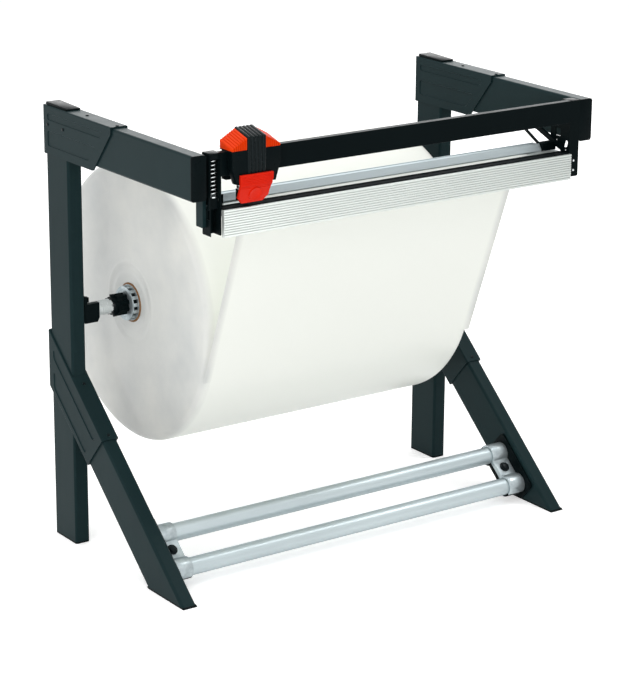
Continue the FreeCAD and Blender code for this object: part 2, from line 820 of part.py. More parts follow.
def make_spacer():
    """Painted plate between the left arm and its channel, hanging below the arm."""
    y0 = arm_front + spacer_setback
    z1 = arm_top - spacer_top_drop
    block = box(-inner_face, -left_outer, y0, y0 + spacer_depth, z1 - spacer_length, z1)
    return block.makeFillet(spacer_round, edges_along(block, V(1, 0, 0), lambda p: p.z < z1 - 1))


def make_cutting_bar():
    """Extruded bar: fluted wall, bed, strip seat and a round lip for the film."""
    wall_back = bar_face + bar_face_thickness
    foot = bar_top - bar_face_height
    bed_under = bar_top - bar_bed_thickness
    wall = box(bar_x0, bar_x1, bar_face, wall_back, foot, bar_top)
    wall = wall.makeFillet(bar_edge_round, edges_along(wall, V(1, 0, 0), lambda p: p.y < bar_face + 1))
    bed = box(bar_x0, bar_x1, bar_face + bar_edge_round, bar_back - bed_lip_radius, bed_under, bar_top)
    lip = rod_x(bar_x0, bar_x1, bar_back - bed_lip_radius, bar_top - bed_lip_radius, bed_lip_radius)
    web_y, web_z = wall_back + bar_fillet, bed_under - bar_fillet
    web = box(bar_x0, bar_x1, wall_back, web_y, web_z, bed_under)
    web = web.cut(rod_x(bar_x0 - 1, bar_x1 + 1, web_y, web_z, bar_fillet))
    seat = box(bar_x0 - 1, bar_x1 + 1, strip_front, strip_front + strip_width,
               bar_top - strip_depth, bar_top + 1)
    pitch = bar_face_height / (flute_count + 1)
    flutes = []
    for index in range(flute_count):
        z = foot + pitch * (index + 1)
        flutes.append(vee(V(bar_x0 - 1, bar_face, z), V(bar_x1 + 1, bar_face, z), flute_depth, V(0, -1, 0)))
    return cut(fuse([wall, bed, lip, web]), [seat, Part.makeCompound(flutes)])


def make_knife_strip():
    """Strip let into the bed, with the slot that the blade runs in."""
    strip = box(bar_x0, bar_x1, strip_front, strip_front + strip_width, bar_top - strip_depth, strip_top)
    upper = edges_along(strip, V(1, 0, 0), lambda p: p.z > bar_top)
    strip = strip.makeFillet(strip_edge_round, upper)
    slot = box(bar_x0 - 1, bar_x1 + 1, knife_y - knife_slot_width / 2,
               knife_y + knife_slot_width / 2, strip_top - knife_slot_depth, strip_top + 1)
    return strip.cut(slot)


def make_cutting_unit():
    """Fixed pieces that span the side frames at the front."""
    save("guide_beam", make_beam())
    save("left_end_channel", make_channel(left_outer, left_inner, False))
    save("right_end_channel", mirrored(make_channel(right_outer, right_inner, True)))
    save("channel_caps", make_channel_cap(left_outer, left_inner, False),
         mirrored(make_channel_cap(right_outer, right_inner, True)))
    save("spacer_plate", make_spacer())
    save("cutting_bar", make_cutting_bar())
    save("knife_strip", make_knife_strip())


# --- press rail ------------------------------------------------------------
def rail_pad_front():
    """Front of the pad's seat under the rail."""
    return rail_front + (rail_depth - rail_pad_depth) / 2


def make_press_rail():
    """Extruded rail with a sloping face, a crest and a grooved back."""
    z0, z1 = rail_bottom, rail_bottom + rail_height
    seat = z0 + rail_pad_height
    pad_y0 = rail_pad_front()
    pad_y1 = pad_y0 + rail_pad_depth
    crest = rail_front + rail_crest_setback
    groove_y0 = rail_back - rail_groove_setback
    groove_y1 = groove_y0 + rail_groove_width
    groove_z = z1 - rail_groove_depth
    profile = [(rail_front, z0 + rail_foot_chamfer), (rail_front + rail_foot_chamfer, z0),
               (pad_y0, z0), (pad_y0, seat), (pad_y1, seat), (pad_y1, z0), (rail_back, z0),
               (rail_back, z1), (groove_y1, z1), (groove_y1, groove_z), (groove_y0, groove_z),
               (groove_y0, z1), (crest + rail_crest_width, z1),
               (crest + rail_crest_width, z1 + rail_crest_stand), (crest, z1 + rail_crest_stand)]
    return prism_x(profile, -rail_half, rail_half)


def make_rail_pad():
    """Soft pad under the rail that holds the film."""
    y0 = rail_pad_front()
    return box(-rail_half, rail_half, y0, y0 + rail_pad_depth, rail_bottom, rail_bottom + rail_pad_height)


def cheek(x0, x1, height, end_y, end_z):
    """Side plate of a lever, from the pivot boss to a square end."""
    start, end = V(0, pivot_y, pivot_z), V(0, end_y, end_z)
    run = (end - start).normalize()
    side = V(0, -run.z, run.y) * (height / 2)
    end += run * (height / 2)
    corners = [(p.y, p.z) for p in (start + side, end + side, end - side, start - side)]
    return fuse([prism_x(corners, x0, x1), rod_x(x0, x1, start.y, start.z, pivot_boss_radius)])


def make_lever(channel_face):
    """Fork lever beside a channel: two cheeks and the block that holds the rail."""
    x_out, x_in = cheek_channel_gap - channel_face, -rail_half
    block_y0 = rail_front - lever_block_lead
    block_y1 = block_y0 + lever_block_depth
    block_top = rail_bottom + rail_height + lever_block_stand
    outer = cheek(x_out, x_out + outer_cheek, outer_cheek_height, lift_pin_y, lift_pin_z)
    inner = cheek(x_in - inner_cheek, x_in, inner_cheek_height, (block_y0 + block_y1) / 2,
                  block_top - inner_cheek_height)
    block = box(x_out, x_in, block_y0, block_y1, rail_bottom, block_top)
    bore = rod_x(x_out - 1, x_in + 1, pivot_y, pivot_z, pivot_pin_radius + pivot_running)
    return fuse([outer, inner, block]).cut(bore)


def make_lift_pin(outer, inner):
    """Pin through a channel's slot, fixed in the lever's outer cheek."""
    ends = [V(x, lift_pin_y, lift_pin_z) for x in (lift_pin_end_gap - outer, cheek_channel_gap - inner)]
    return fine_rod(*ends, lift_pin_radius)


def make_plunger():
    """Moulded block on the lift pin, inside the left channel."""
    x0 = -left_outer + channel_wall + plunger_play
    x1 = -left_inner - channel_wall - plunger_play
    z0 = lift_pin_z - plunger_foot
    half = plunger_depth / 2
    block = box(x0, x1, lift_pin_y - half, lift_pin_y + half, z0, z0 + plunger_height)
    ends = [V(x, lift_pin_y, lift_pin_z) for x in (x0 - 1, x1 + 1)]
    return block.cut(fine_rod(*ends, lift_pin_radius))


def spring_axis_x():
    """X of the middle of the left end channel."""
    return -(left_outer + left_inner) / 2


def spring_ends():
    """Heights of the spring's foot and head."""
    foot = lift_pin_z - plunger_foot + plunger_height + seat_height
    head = arm_top - channel_cap_plate - channel_cap_skirt
    return foot, head


def make_spring_seat():
    """Washer between the plunger and the spring."""
    foot, _ = spring_ends()
    x = spring_axis_x()
    return fine_rod(V(x, lift_pin_y, foot - seat_height), V(x, lift_pin_y, foot), spring_radius + spring_wire)


def make_spring():
    """Open-coil compression spring, its wire run in short straight lengths."""
    foot, head = spring_ends()
    middle = V(spring_axis_x(), lift_pin_y, foot + spring_wire)
    rise = head - foot - 2 * spring_wire
    steps = spring_turns * spring_sides
    path = []
    for step in range(steps + 1):
        turn = 2 * math.pi * step / spring_sides
        path.append(middle + V(math.cos(turn) * spring_radius, math.sin(turn) * spring_radius,
                               rise * step / steps))
    run = path[1] - path[0]
    side = V(0, 0, 1).cross(run).normalize()
    up = run.cross(side).normalize()
    corners = []
    for index in range(spring_faces):
        turn = 2 * math.pi * index / spring_faces
        corners.append(path[0] + (side * math.cos(turn) + up * math.sin(turn)) * spring_wire)
    section = Part.makePolygon(corners + corners[:1])
    return Part.makePolygon(path).makePipeShell([section], True, True, 1)


def make_pivot_pin():
    """Pivot pin that stands out of the left arm, with its head."""
    x0 = -inner_face - tube_wall
    x1 = -rail_half + pivot_head_gap
    pin = rod_x(x0, x1, pivot_y, pivot_z, pivot_pin_radius)
    head = fine_rod(V(x1, pivot_y, pivot_z), V(x1 + pivot_head_length, pivot_y, pivot_z), pivot_head_radius)
    return fuse([pin, head])


def make_rail_unit():
    """Press rail, levers, pins and the spring that closes it."""
    save("press_rail", make_press_rail())
    save("rail_pad", make_rail_pad())
    save("left_rail_lever", make_lever(left_inner))
    save("right_rail_lever", mirrored(make_lever(right_inner)))
    save("lift_pins", make_lift_pin(left_outer, left_inner),
         mirrored(make_lift_pin(right_outer, right_inner)))
    save_both("pivot_pins", make_pivot_pin())
    save("spring_plunger", make_plunger())
    save("spring_seat", make_spring_seat())
    save("rail_spring", make_spring())


# --- cutter carriage -------------------------------------------------------
def roof_height(x, front):
    """Height of the roof at x, at its front or back edge."""
    near = min(abs(x - carriage_x), carriage_width / 2)
    flat = grip_width / 2
    share = max(0.0, near - flat) / (carriage_width / 2 - flat)
    height = carriage_crest + (carriage_eave - carriage_crest) * share
    return arm_top + height + (0 if front else roof_pitch)


def roof_block(x0, x1):
    """Piece of the sloping roof between two X places, its foot just above the beam."""
    base = arm_top + carriage_play
    foot = base - roof_pitch
    corners = [V(x0, carriage_front, foot), V(x0, carriage_front, roof_height(x0, True)),
               V(x1, carriage_front, roof_height(x1, True)), V(x1, carriage_front, foot)]
    block = Part.Face(Part.makePolygon(corners + corners[:1])).extrude(V(0, carriage_depth, roof_pitch))
    return block.cut(box(x0 - 1, x1 + 1, carriage_front - 1, carriage_back + 1, foot - 1, base))


def make_cover(x0, x1):
    """Sloping roof cover beside the grip, ribbed down its front and over its top."""
    front, back = carriage_front, carriage_back
    cover = roof_block(x0, x1).cut(box(x0 - 1, x1 + 1, front - 1, back + 1, arm_top, deck_top))
    tilt = V((roof_height(x0, True) - roof_height(x1, True)) / (x1 - x0), 0, 1)
    run = V(0, carriage_depth, roof_pitch).normalize() * roof_rib_depth * 2
    count = int((x1 - x0) / roof_rib_pitch)
    grooves = []
    for index in range(1, count):
        x = x0 + index * (x1 - x0) / count
        edge = V(x, front, roof_height(x, True))
        rear = V(x, back, roof_height(x, False))
        grooves.append(vee(edge - run, rear + run, roof_rib_depth, tilt))
        grooves.append(vee(V(x, front, deck_top - 1), edge + V(0, 0, 1), roof_rib_depth, V(0, -1, 0)))
    return cut(cover, grooves)


def guide_pin_places():
    """X places of the two guide pins, with their common Y."""
    reach = holder_width / 2 - guide_pin_inset
    return (guard_x - reach, guard_x + reach), carriage_front - guard_gap + guide_pin_setback


def guide_pin_foot():
    """Height at which the pins end, clear of the guard's leaning back."""
    top, bend, foot = guard_back_line()
    reach = guide_pin_setback - guide_pin_radius - guide_pin_end_gap
    return bend[1] - (bend[1] - foot[1]) * reach / (foot[0] - top[0])


def make_carriage_body():
    """Moulded saddle: front wall, top and a back wall hooked under the beam."""
    x0, x1 = carriage_x0, carriage_x1
    front_in = arm_front - carriage_play
    back_in = beam_back + carriage_play
    foot = arm_top - carriage_front_drop
    back_foot = arm_top - carriage_back_drop
    outline = [(x0, deck_top), (x0, arm_top - carriage_waist_left), (x0 + carriage_foot_cut, foot),
               (x1 - carriage_foot_cut, foot), (x1, arm_top - carriage_waist_right), (x1, deck_top)]
    front_wall = prism_y(outline, carriage_front, front_in)
    back_x0, back_x1 = x0 + carriage_back_inset, x1 - carriage_back_inset
    back_wall = box(back_x0, back_x1, back_in, carriage_back, back_foot, deck_top)
    hook = box(back_x0, back_x1, beam_back - carriage_hook, carriage_back, back_foot,
               beam_bottom - carriage_play)
    grip_x0, grip_x1 = carriage_x - grip_width / 2, carriage_x + grip_width / 2
    crest = roof_block(grip_x0, grip_x1)
    deck = box(x0, x1, carriage_front, carriage_back, arm_top + carriage_play, deck_top)
    pin_xs, pin_y = guide_pin_places()
    seats = [fine_rod(V(x, pin_y, foot - 1), V(x, pin_y, foot + guide_pin_root), guide_pin_radius)
             for x in pin_xs]
    return cut(fuse([front_wall, back_wall, hook, crest, deck]), seats)


def make_guide_pins():
    """Two pins in the front wall, on which the blade holder slides."""
    pin_xs, pin_y = guide_pin_places()
    foot = arm_top - carriage_front_drop
    return [fine_rod(V(x, pin_y, guide_pin_foot()), V(x, pin_y, foot + guide_pin_root), guide_pin_radius)
            for x in pin_xs]


def make_grip():
    """Ribbed grip band over the middle of the roof and down the front wall."""
    x0, x1 = carriage_x - grip_width / 2, carriage_x + grip_width / 2
    outer_y = carriage_front - grip_stand
    crest_front = roof_height(carriage_x, True)
    crest_back = roof_height(carriage_x, False)
    foot = arm_top - guard_top_drop + guard_gap
    outline = [(outer_y, foot), (outer_y, crest_front + grip_stand), (carriage_back, crest_back + grip_stand),
               (carriage_back, crest_back), (carriage_front, crest_front), (carriage_front, foot)]
    band = prism_x(outline, x0, x1)
    corner = edges_along(band, V(1, 0, 0), lambda p: p.y < outer_y + 1 and p.z > crest_front)
    band = band.makeChamfer(grip_corner, corner)
    pitch = grip_width / grip_rib_count
    top_front = V(0, outer_y, crest_front + grip_stand)
    top_back = V(0, carriage_back + 1, crest_back + grip_stand)
    grooves = []
    for index in range(1, grip_rib_count):
        shift = V(x0 + pitch * index, 0, 0)
        grooves.append(vee(V(0, outer_y, foot - 1) + shift, top_front + shift, grip_rib_depth, V(0, -1, 0)))
        grooves.append(vee(top_front + shift, top_back + shift, grip_rib_depth, V(0, 0, 1)))
    return cut(band, grooves)


def make_glides():
    """Slippery pads in the back wall that run in the beam's groove."""
    pads = []
    z = (beam_bottom + arm_top) / 2
    half_height = beam_groove_height / 2 - glide_play
    y1 = beam_back + carriage_play
    for x in (carriage_x0 + glide_inset, carriage_x1 - glide_inset - glide_length):
        pads.append(box(x, x + glide_length, y1 - glide_thickness, y1, z - half_height, z + half_height))
    return pads


# --- blade unit ------------------------------------------------------------
def guard_back_line():
    """Back of the guard as (y, z) points: top, bend and foot."""
    top_y, top_z = carriage_front - guard_gap, arm_top - guard_top_drop
    return (top_y, top_z), (top_y, top_z - guard_bend_drop), (top_y + guard_lean, top_z - guard_height)


def guard_face_y(z):
    """Y of the guard's front face at a height."""
    _, bend, foot = guard_back_line()
    return bend[0] - guard_thickness + max(0.0, bend[1] - z) * guard_lean / (bend[1] - foot[1])


def make_guard():
    """Leaning blade guard with fine ribs and a seat for the button."""
    top, bend, foot = guard_back_line()
    half_top, half_foot = guard_width_top / 2, guard_width_foot / 2
    front = [(y - guard_thickness, z) for y, z in (top, bend, foot)]
    slab = prism_x(front + [foot, bend, top], guard_x - half_top, guard_x + half_top)
    corner_z = foot[1] + guard_corner_height
    notch_x = guard_x + half_top - guard_notch
    sides = [(guard_x - half_top, top[1]), (guard_x - half_top, corner_z), (guard_x - half_foot, foot[1]),
             (guard_x + half_foot - guard_notch, foot[1]), (notch_x, corner_z),
             (notch_x, top[1] - guard_notch_foot), (guard_x + half_top, top[1] - guard_notch_top),
             (guard_x + half_top, top[1])]
    guard = slab.common(prism_y(sides, front[0][0] - 1, foot[0] + 1))
    grooves = []
    for index in range(guard_rib_count):
        z = top[1] - guard_rib_start - index * guard_rib_pitch
        x0, x1 = guard_x - half_top - 1, guard_x + half_top + 1
        face = V(0, guard_face_y(z), z)
        grooves.append(vee(V(x0, 0, 0) + face, V(x1, 0, 0) + face, guard_rib_depth, V(0, -1, 0)))
    return cut(guard, [Part.makeCompound(grooves), button_space()])


def button_axis():
    """Point on the guard's face at the button's centre, and the inward run."""
    _, bend, foot = guard_back_line()
    z = arm_top - guard_top_drop - button_drop
    inward = V(0, bend[1] - foot[1], guard_lean).normalize()
    return V(guard_x, guard_face_y(z), z), inward


def button_space():
    """Room for the button and its travel."""
    centre, inward = button_axis()
    back = centre + inward * (guard_thickness + button_travel + button_room)
    return rod(centre - inward * button_stand, back, button_radius + button_running)


def make_button():
    """Round button that frees the blade."""
    centre, inward = button_axis()
    back = centre + inward * (guard_thickness - button_seat)
    return rod(centre - inward * button_stand, back, button_radius)


def make_blade_holder():
    """Block behind the guard that clamps the blade and slides on the guide pins."""
    top, bend, foot = guard_back_line()
    half = holder_width / 2
    blade_face = knife_y - blade_thickness / 2
    z1 = holder_foot + holder_height
    block = box(guard_x - half, guard_x + half, top[0], blade_face, holder_foot, z1)
    in_front = prism_x([(top[0] - 1, top[1]), top, bend, foot, (top[0] - 1, foot[1])],
                       guard_x - half - 1, guard_x + half + 1)
    pin_xs, pin_y = guide_pin_places()
    bores = [fine_rod(V(x, pin_y, guide_pin_foot() - guide_pin_end_gap), V(x, pin_y, z1 + 1),
                      guide_pin_radius + guide_pin_running) for x in pin_xs]
    return cut(block, [in_front, button_space()] + bores)


def make_blade():
    """Slim blade with a sloping edge on each side of its point."""
    half = blade_width / 2
    point = strip_top + blade_point_gap
    z1 = holder_foot + holder_height - blade_seat
    outline = [(guard_x - half, z1), (guard_x - half, point + blade_slope), (guard_x, point),
               (guard_x + half, point + blade_slope), (guard_x + half, z1)]
    return prism_y(outline, knife_y - blade_thickness / 2, knife_y + blade_thickness / 2)


def make_carriage_unit():
    """Saddle, covers, grip, glides and the blade unit."""
    save("carriage_body", make_carriage_body())
    save("left_roof_cover", make_cover(carriage_x0, carriage_x - grip_width / 2))
    save("right_roof_cover", make_cover(carriage_x + grip_width / 2, carriage_x1))
    save("grip_band", make_grip())
    save("carriage_glides", *make_glides())
    save("guide_pins", *make_guide_pins())
    save("blade_guard", make_guard())
    save("release_button", make_button())
    save("blade_holder", make_blade_holder())
    save("blade", make_blade())


# --- spindle, chucks and roll ----------------------------------------------
def make_cradle():
    """Open-topped cradle on the inner face of the left post."""
    x0, x1 = -inner_face, -inner_face + cradle_length
    slot_radius = shaft_radius + cradle_running
    z0 = spindle_height - slot_radius - cradle_floor
    z1 = spindle_height + cradle_lip
    outline = [(x0, z0), (x1 - cradle_chamfer / 2, z0), (x1, z0 + cradle_chamfer), (x1, z1), (x0, z1)]
    block = prism_y(outline, post_front, 2 * spindle_y - post_front)
    slot = rod_x(x0 - 1, x1 + 1, spindle_y, spindle_height, slot_radius)
    mouth = box(x0 - 1, x1 + 1, spindle_y - slot_radius, spindle_y + slot_radius, spindle_height, z1 + 1)
    tab = box(x0, x0 + cradle_tab_thickness, post_front, post_front + cradle_tab_depth,
              z1 - cradle_tab_thickness, z1 + cradle_tab_height)
    tab = tab.makeFillet(cradle_tab_round, edges_along(tab, V(0, 1, 0), lambda p: p.x > x0 + 1))
    return cut(fuse([block, tab]), [slot, mouth])


def make_shaft():
    """Spindle shaft with chamfered ends."""
    end = inner_face - shaft_end_gap
    shaft = rod_x(-end, end, spindle_y, spindle_height, shaft_radius)
    return shaft.makeChamfer(shaft_chamfer, rims(shaft))


def fine_rod_x(x0, x1, radius, sides):
    """Many-sided bar on the spindle axis."""
    return fine_rod(V(x0, spindle_y, spindle_height), V(x1, spindle_y, spindle_height), radius, sides)


def ring_x(x0, x1, outer, inner):
    """Ring round the spindle axis."""
    ring = rod_x(x0, x1, spindle_y, spindle_height, outer)
    return ring.cut(rod_x(x0 - 1, x1 + 1, spindle_y, spindle_height, inner))


def around_spindle(shape, count):
    """Copies of a shape spread evenly round the spindle axis."""
    copies = []
    for index in range(count):
        copy = shape.copy()
        copy.rotate(V(0, spindle_y, spindle_height), V(1, 0, 0), index * 360.0 / count)
        copies.append(copy)
    return copies


def spindle_point(x, radius, turn):
    """Point at a distance and a share of a turn round the spindle axis."""
    angle = 2 * math.pi * turn
    return V(x, spindle_y + math.sin(angle) * radius, spindle_height + math.cos(angle) * radius)


def make_crown(x0, x1):
    """Toothed ring of the chuck, teeth and gaps of equal width."""
    root = chuck_crown_radius - chuck_tooth_depth
    corners = []
    for index in range(2 * chuck_tooth_count):
        radius = chuck_crown_radius if index % 2 else root
        for step in (index, index + 1):
            corners.append(spindle_point(x0, radius, step / (2 * chuck_tooth_count)))
    return Part.Face(Part.makePolygon(corners + corners[:1])).extrude(V(x1 - x0, 0, 0))


def make_chuck():
    """Left chuck: toothed crown, flange and jaws that grip inside the core."""
    flange_x = chuck_face - chuck_flange_length
    x0, x1 = flange_x - chuck_crown_length, chuck_face + jaw_length
    flange = rod_x(flange_x, chuck_face, spindle_y, spindle_height, chuck_flange_radius)
    plug = fine_rod_x(chuck_face, x1, chuck_plug_radius, 2 * jaw_count)
    jaw = box(chuck_face, x1, spindle_y - jaw_width / 2, spindle_y + jaw_width / 2,
              spindle_height + shaft_radius, spindle_height + core_radius - core_wall - jaw_gap)
    body = fuse([make_crown(x0, flange_x), flange, plug] + around_spindle(jaw, jaw_count))
    return body.cut(rod_x(x0 - 1, x1 + 1, spindle_y, spindle_height, shaft_radius))


def make_hub():
    """Left locking hub: a lobed knob with a winged collar, screwed against the chuck."""
    x1 = chuck_face - chuck_flange_length - chuck_crown_length - hub_gap
    x0 = x1 - hub_length
    knob_x = x0 + hub_collar_length
    waist = fine_rod_x(knob_x, x1, hub_waist_radius, 4 * hub_lobe_count)
    crown = V(0, spindle_y, spindle_height + hub_waist_radius)
    lobe = fine_rod(crown + V(knob_x, 0, 0), crown + V(x1 - hub_lobe_setback, 0, 0),
                    hub_lobe_radius, hub_lobe_sides)
    collar = fine_rod_x(x0, knob_x, hub_collar_radius, 4 * hub_lobe_count)
    wing = box(x0, knob_x, spindle_y - hub_wing_width / 2, spindle_y + hub_wing_width / 2,
               spindle_height + shaft_radius, spindle_height + hub_wing_radius)
    body = fuse([waist, collar] + around_spindle(lobe, hub_lobe_count) + around_spindle(wing, hub_wing_count))
    return body.cut(rod_x(x0 - 1, x1 + 1, spindle_y, spindle_height, shaft_radius + hub_bore_gap))


def shift_to_right(shape):
    """Mirror a left roll piece about the roll's own middle."""
    copy = mirrored(shape)
    copy.translate(V(roll_x0 + roll_x1, 0, 0))
    return copy


def make_roll_unit():
    """Shaft, chucks, hubs, core and the wound film."""
    save_pair("cradle", make_cradle())
    save("spindle_shaft", make_shaft())
    chuck, hub = make_chuck(), make_hub()
    save("left_chuck", chuck)
    save("right_chuck", shift_to_right(chuck))
    save("left_locking_hub", hub)
    save("right_locking_hub", shift_to_right(hub))
    core_ends = roll_x0 - core_stand, roll_x1 + core_stand
    save("roll_core", ring_x(*core_ends, core_radius, core_radius - core_wall))
    save("film_roll", ring_x(roll_x0, roll_x1, roll_radius, core_radius))


# --- film web --------------------------------------------------------------
def film_tangent():
    """Normal of the straight run that leaves the roll and meets the bed's lip."""
    roll = V(0, spindle_y, spindle_height)
    lip = V(0, bar_back - bed_lip_radius, bar_top - bed_lip_radius)
    between = lip - roll
    radii = roll_radius + film_roll_gap + film_thickness + bed_lip_radius
    angle = math.atan2(between.z, between.y) + math.acos(radii / between.Length)
    return roll, lip, V(0, math.cos(angle), math.sin(angle))


def make_film_web():
    """Film from the roll, round the bed's lip and forward under the press rail."""
    roll, lip, normal = film_tangent()
    inner = roll + normal * (roll_radius + film_roll_gap)
    outer = inner + normal * film_thickness
    lip_in = lip - normal * bed_lip_radius
    outer_radius = bed_lip_radius + film_thickness
    lip_out = lip - normal * outer_radius
    top_in = lip + V(0, 0, bed_lip_radius)
    top_out = top_in + V(0, 0, film_thickness)
    end_in = V(0, bar_face + film_end_setback, top_in.z)
    end_out = end_in + V(0, 0, film_thickness)
    middle = (V(0, 0, 1) - normal).normalize()
    arc_in = Part.Arc(lip_in, lip + middle * bed_lip_radius, top_in).toShape()
    arc_out = Part.Arc(lip_out, lip + middle * outer_radius, top_out).toShape()
    edges = [Part.makeLine(inner, lip_out), arc_out, Part.makeLine(top_out, end_out),
             Part.makeLine(end_out, end_in), Part.makeLine(end_in, top_in), arc_in,
             Part.makeLine(lip_in, outer), Part.makeLine(outer, inner)]
    wire = Part.Wire(Part.__sortEdges__(edges))
    web = Part.Face(wire).extrude(V(roll_x1 - roll_x0, 0, 0))
    web.translate(V(roll_x0, 0, 0))
    return web


# --- cross tubes and clamps ------------------------------------------------
def clamp_point(along, across, x=0.0):
    """Point in the clamp's own plane: along the leg and across it."""
    return clamp_mid + leg_dir * along + leg_normal * across + V(x, 0, 0)


def clamp_block(x0, x1, along, low, high):
    """Block centred on the clamp, long side along the leg, limits across it."""
    block = box(x0, x1, -high, -low, -along / 2, along / 2)
    block.rotate(V(0, 0, 0), V(1, 0, 0), leg_angle - 90)
    block.translate(clamp_mid)
    return block


def rod_axis(side):
    """Middle of the upper (1) or lower (-1) cross tube."""
    return clamp_point(side * rod_pitch / 2, 0)


def make_cross_tube(side):
    """Round tube between the clamp bases."""
    axis = rod_axis(side)
    end = inner_face - base_thickness
    tube = rod_x(-end, end, axis.y, axis.z, rod_radius)
    return tube.cut(rod_x(-end - 1, end + 1, axis.y, axis.z, rod_radius - rod_wall))


def clamp_half(sign):
    """Front (1) or back (-1) half of the left double clamp."""
    x0, x1 = clamp_x, clamp_x + clamp_length
    far = rod_radius + clamp_wall
    low, high = sorted((sign * clamp_split / 2, sign * (far + 1)))
    half_space = clamp_block(x0 - 1, x1 + 1, rod_pitch + 3 * far, low, high)
    low, high = sorted((sign * clamp_split / 2, sign * clamp_web))
    pieces = [clamp_block(x0, x1, rod_pitch, low, high)]
    tools = [fine_rod(clamp_point(0, -far, bolt_x), clamp_point(0, far, bolt_x), bolt_shank_radius)]
    for side in (-1, 1):
        axis = rod_axis(side)
        sleeve = rod_x(x0, x1, axis.y, axis.z, far)
        pieces.append(sleeve.common(half_space))
        tools.append(rod_x(x0 - 1, x1 + 1, axis.y, axis.z, rod_radius))
    return cut(fuse(pieces), tools)


def make_clamp_bolt():
    """Headed bolt with its washer through the web of the left clamp."""
    seat = clamp_point(0, clamp_web, bolt_x)
    washer = fine_rod(seat, seat + leg_normal * washer_height, washer_radius, washer_sides)
    head_foot = seat + leg_normal * washer_height
    corners = []
    for index in range(bolt_head_sides):
        turn = 2 * math.pi * index / bolt_head_sides
        corners.append(head_foot + V(math.cos(turn), 0, 0) * bolt_head_radius
                       + leg_dir * (math.sin(turn) * bolt_head_radius))
    head = Part.Face(Part.makePolygon(corners + corners[:1])).extrude(leg_normal * bolt_head_height)
    shank = fine_rod(clamp_point(0, -clamp_web, bolt_x), seat, bolt_shank_radius)
    return fuse([head, washer, shank])


def make_clamp_base():
    """Plate that carries the clamp on the inner face of the left leg."""
    plate = clamp_block(-inner_face, clamp_x, base_length, -base_width / 2, base_width / 2)
    plate = plate.makeFillet(base_corner, edges_along(plate, V(1, 0, 0)))
    return plate.common(box(-inner_face, clamp_x, -2 * leg_reach, 0, base_floor_gap, frame_height))


def make_cross_unit():
    """Cross tubes and the clamps that hold them."""
    save("upper_cross_tube", make_cross_tube(1))
    save("lower_cross_tube", make_cross_tube(-1))
    save_pair("clamp_front", clamp_half(1))
    save_pair("clamp_back", clamp_half(-1))
    save_both("clamp_bolts", make_clamp_bolt())
    save_pair("clamp_base", make_clamp_base())


def main():
    """Build every node."""
    os.makedirs("parts", exist_ok=True)
    make_side_frames()
    make_cutting_unit()
    make_rail_unit()
    make_carriage_unit()
    make_roll_unit()
    save("film_web", make_film_web())
    make_cross_unit()


main()
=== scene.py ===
"""Looks of a free-standing cutting stand that carries a wide roll of wrapping film."""

import json
import logging
import math
from contextlib import contextmanager
from dataclasses import dataclass
from enum import Enum
from typing import Callable, Dict, Iterator, List, Optional, Sequence, Tuple

import bpy
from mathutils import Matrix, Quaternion, Vector


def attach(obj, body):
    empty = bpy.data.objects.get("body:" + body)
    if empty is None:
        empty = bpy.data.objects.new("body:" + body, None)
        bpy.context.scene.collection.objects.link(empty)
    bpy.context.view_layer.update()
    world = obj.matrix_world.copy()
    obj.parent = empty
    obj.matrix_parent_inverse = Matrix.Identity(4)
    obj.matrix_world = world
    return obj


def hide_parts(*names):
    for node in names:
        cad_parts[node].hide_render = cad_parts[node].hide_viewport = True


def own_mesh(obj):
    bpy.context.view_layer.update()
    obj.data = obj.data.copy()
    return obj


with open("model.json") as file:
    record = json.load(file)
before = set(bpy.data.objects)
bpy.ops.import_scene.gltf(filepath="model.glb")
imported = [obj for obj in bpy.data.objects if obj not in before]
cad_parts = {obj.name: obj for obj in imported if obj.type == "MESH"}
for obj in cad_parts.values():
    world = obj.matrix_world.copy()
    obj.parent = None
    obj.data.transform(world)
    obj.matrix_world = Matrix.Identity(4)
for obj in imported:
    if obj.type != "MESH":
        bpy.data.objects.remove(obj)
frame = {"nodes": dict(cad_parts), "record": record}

Colour = Tuple[float, float, float]
Piece = bpy.types.Object
Place = Sequence[float]
Socket = bpy.types.NodeSocket
log = logging.getLogger("stand")

FINE, ROUND, COARSE = 96, 64, 48  # flats round a turned form
OVER = 0.001  # how far a cutting tool reaches past its piece
HAIR = 0.0001  # smallest step between two faces
COOL: Colour = (0.88, 0.98, 1.0)  # tint of glints on dark surfaces


class Body(str, Enum):
    """Moving groups of the stand that take modelled pieces."""

    STAND = "stand"
    CARRIAGE = "carriage"
    CUTTER_HEAD = "cutter_head"
    BUTTON = "release_button"
    SPINDLE = "spindle"
    LEFT_HUB = "left_hub"
    RIGHT_HUB = "right_hub"


class Slot(str, Enum):
    """Finishes named in the record."""

    FRAME_PAINT = "frame_paint"
    BLACK_STEEL = "black_steel"
    BLACK_PLASTIC = "black_plastic"
    ORANGE_PLASTIC = "orange_plastic"
    RED_PLASTIC = "red_plastic"
    ANODISED = "anodised_aluminium"
    CAST = "cast_aluminium"
    BRIGHT_STEEL = "bright_steel"
    BLACK_FASTENER = "black_fastener"
    RUBBER = "black_rubber"
    GLIDE = "white_glide"
    FILM = "film"
    CARDBOARD = "cardboard"


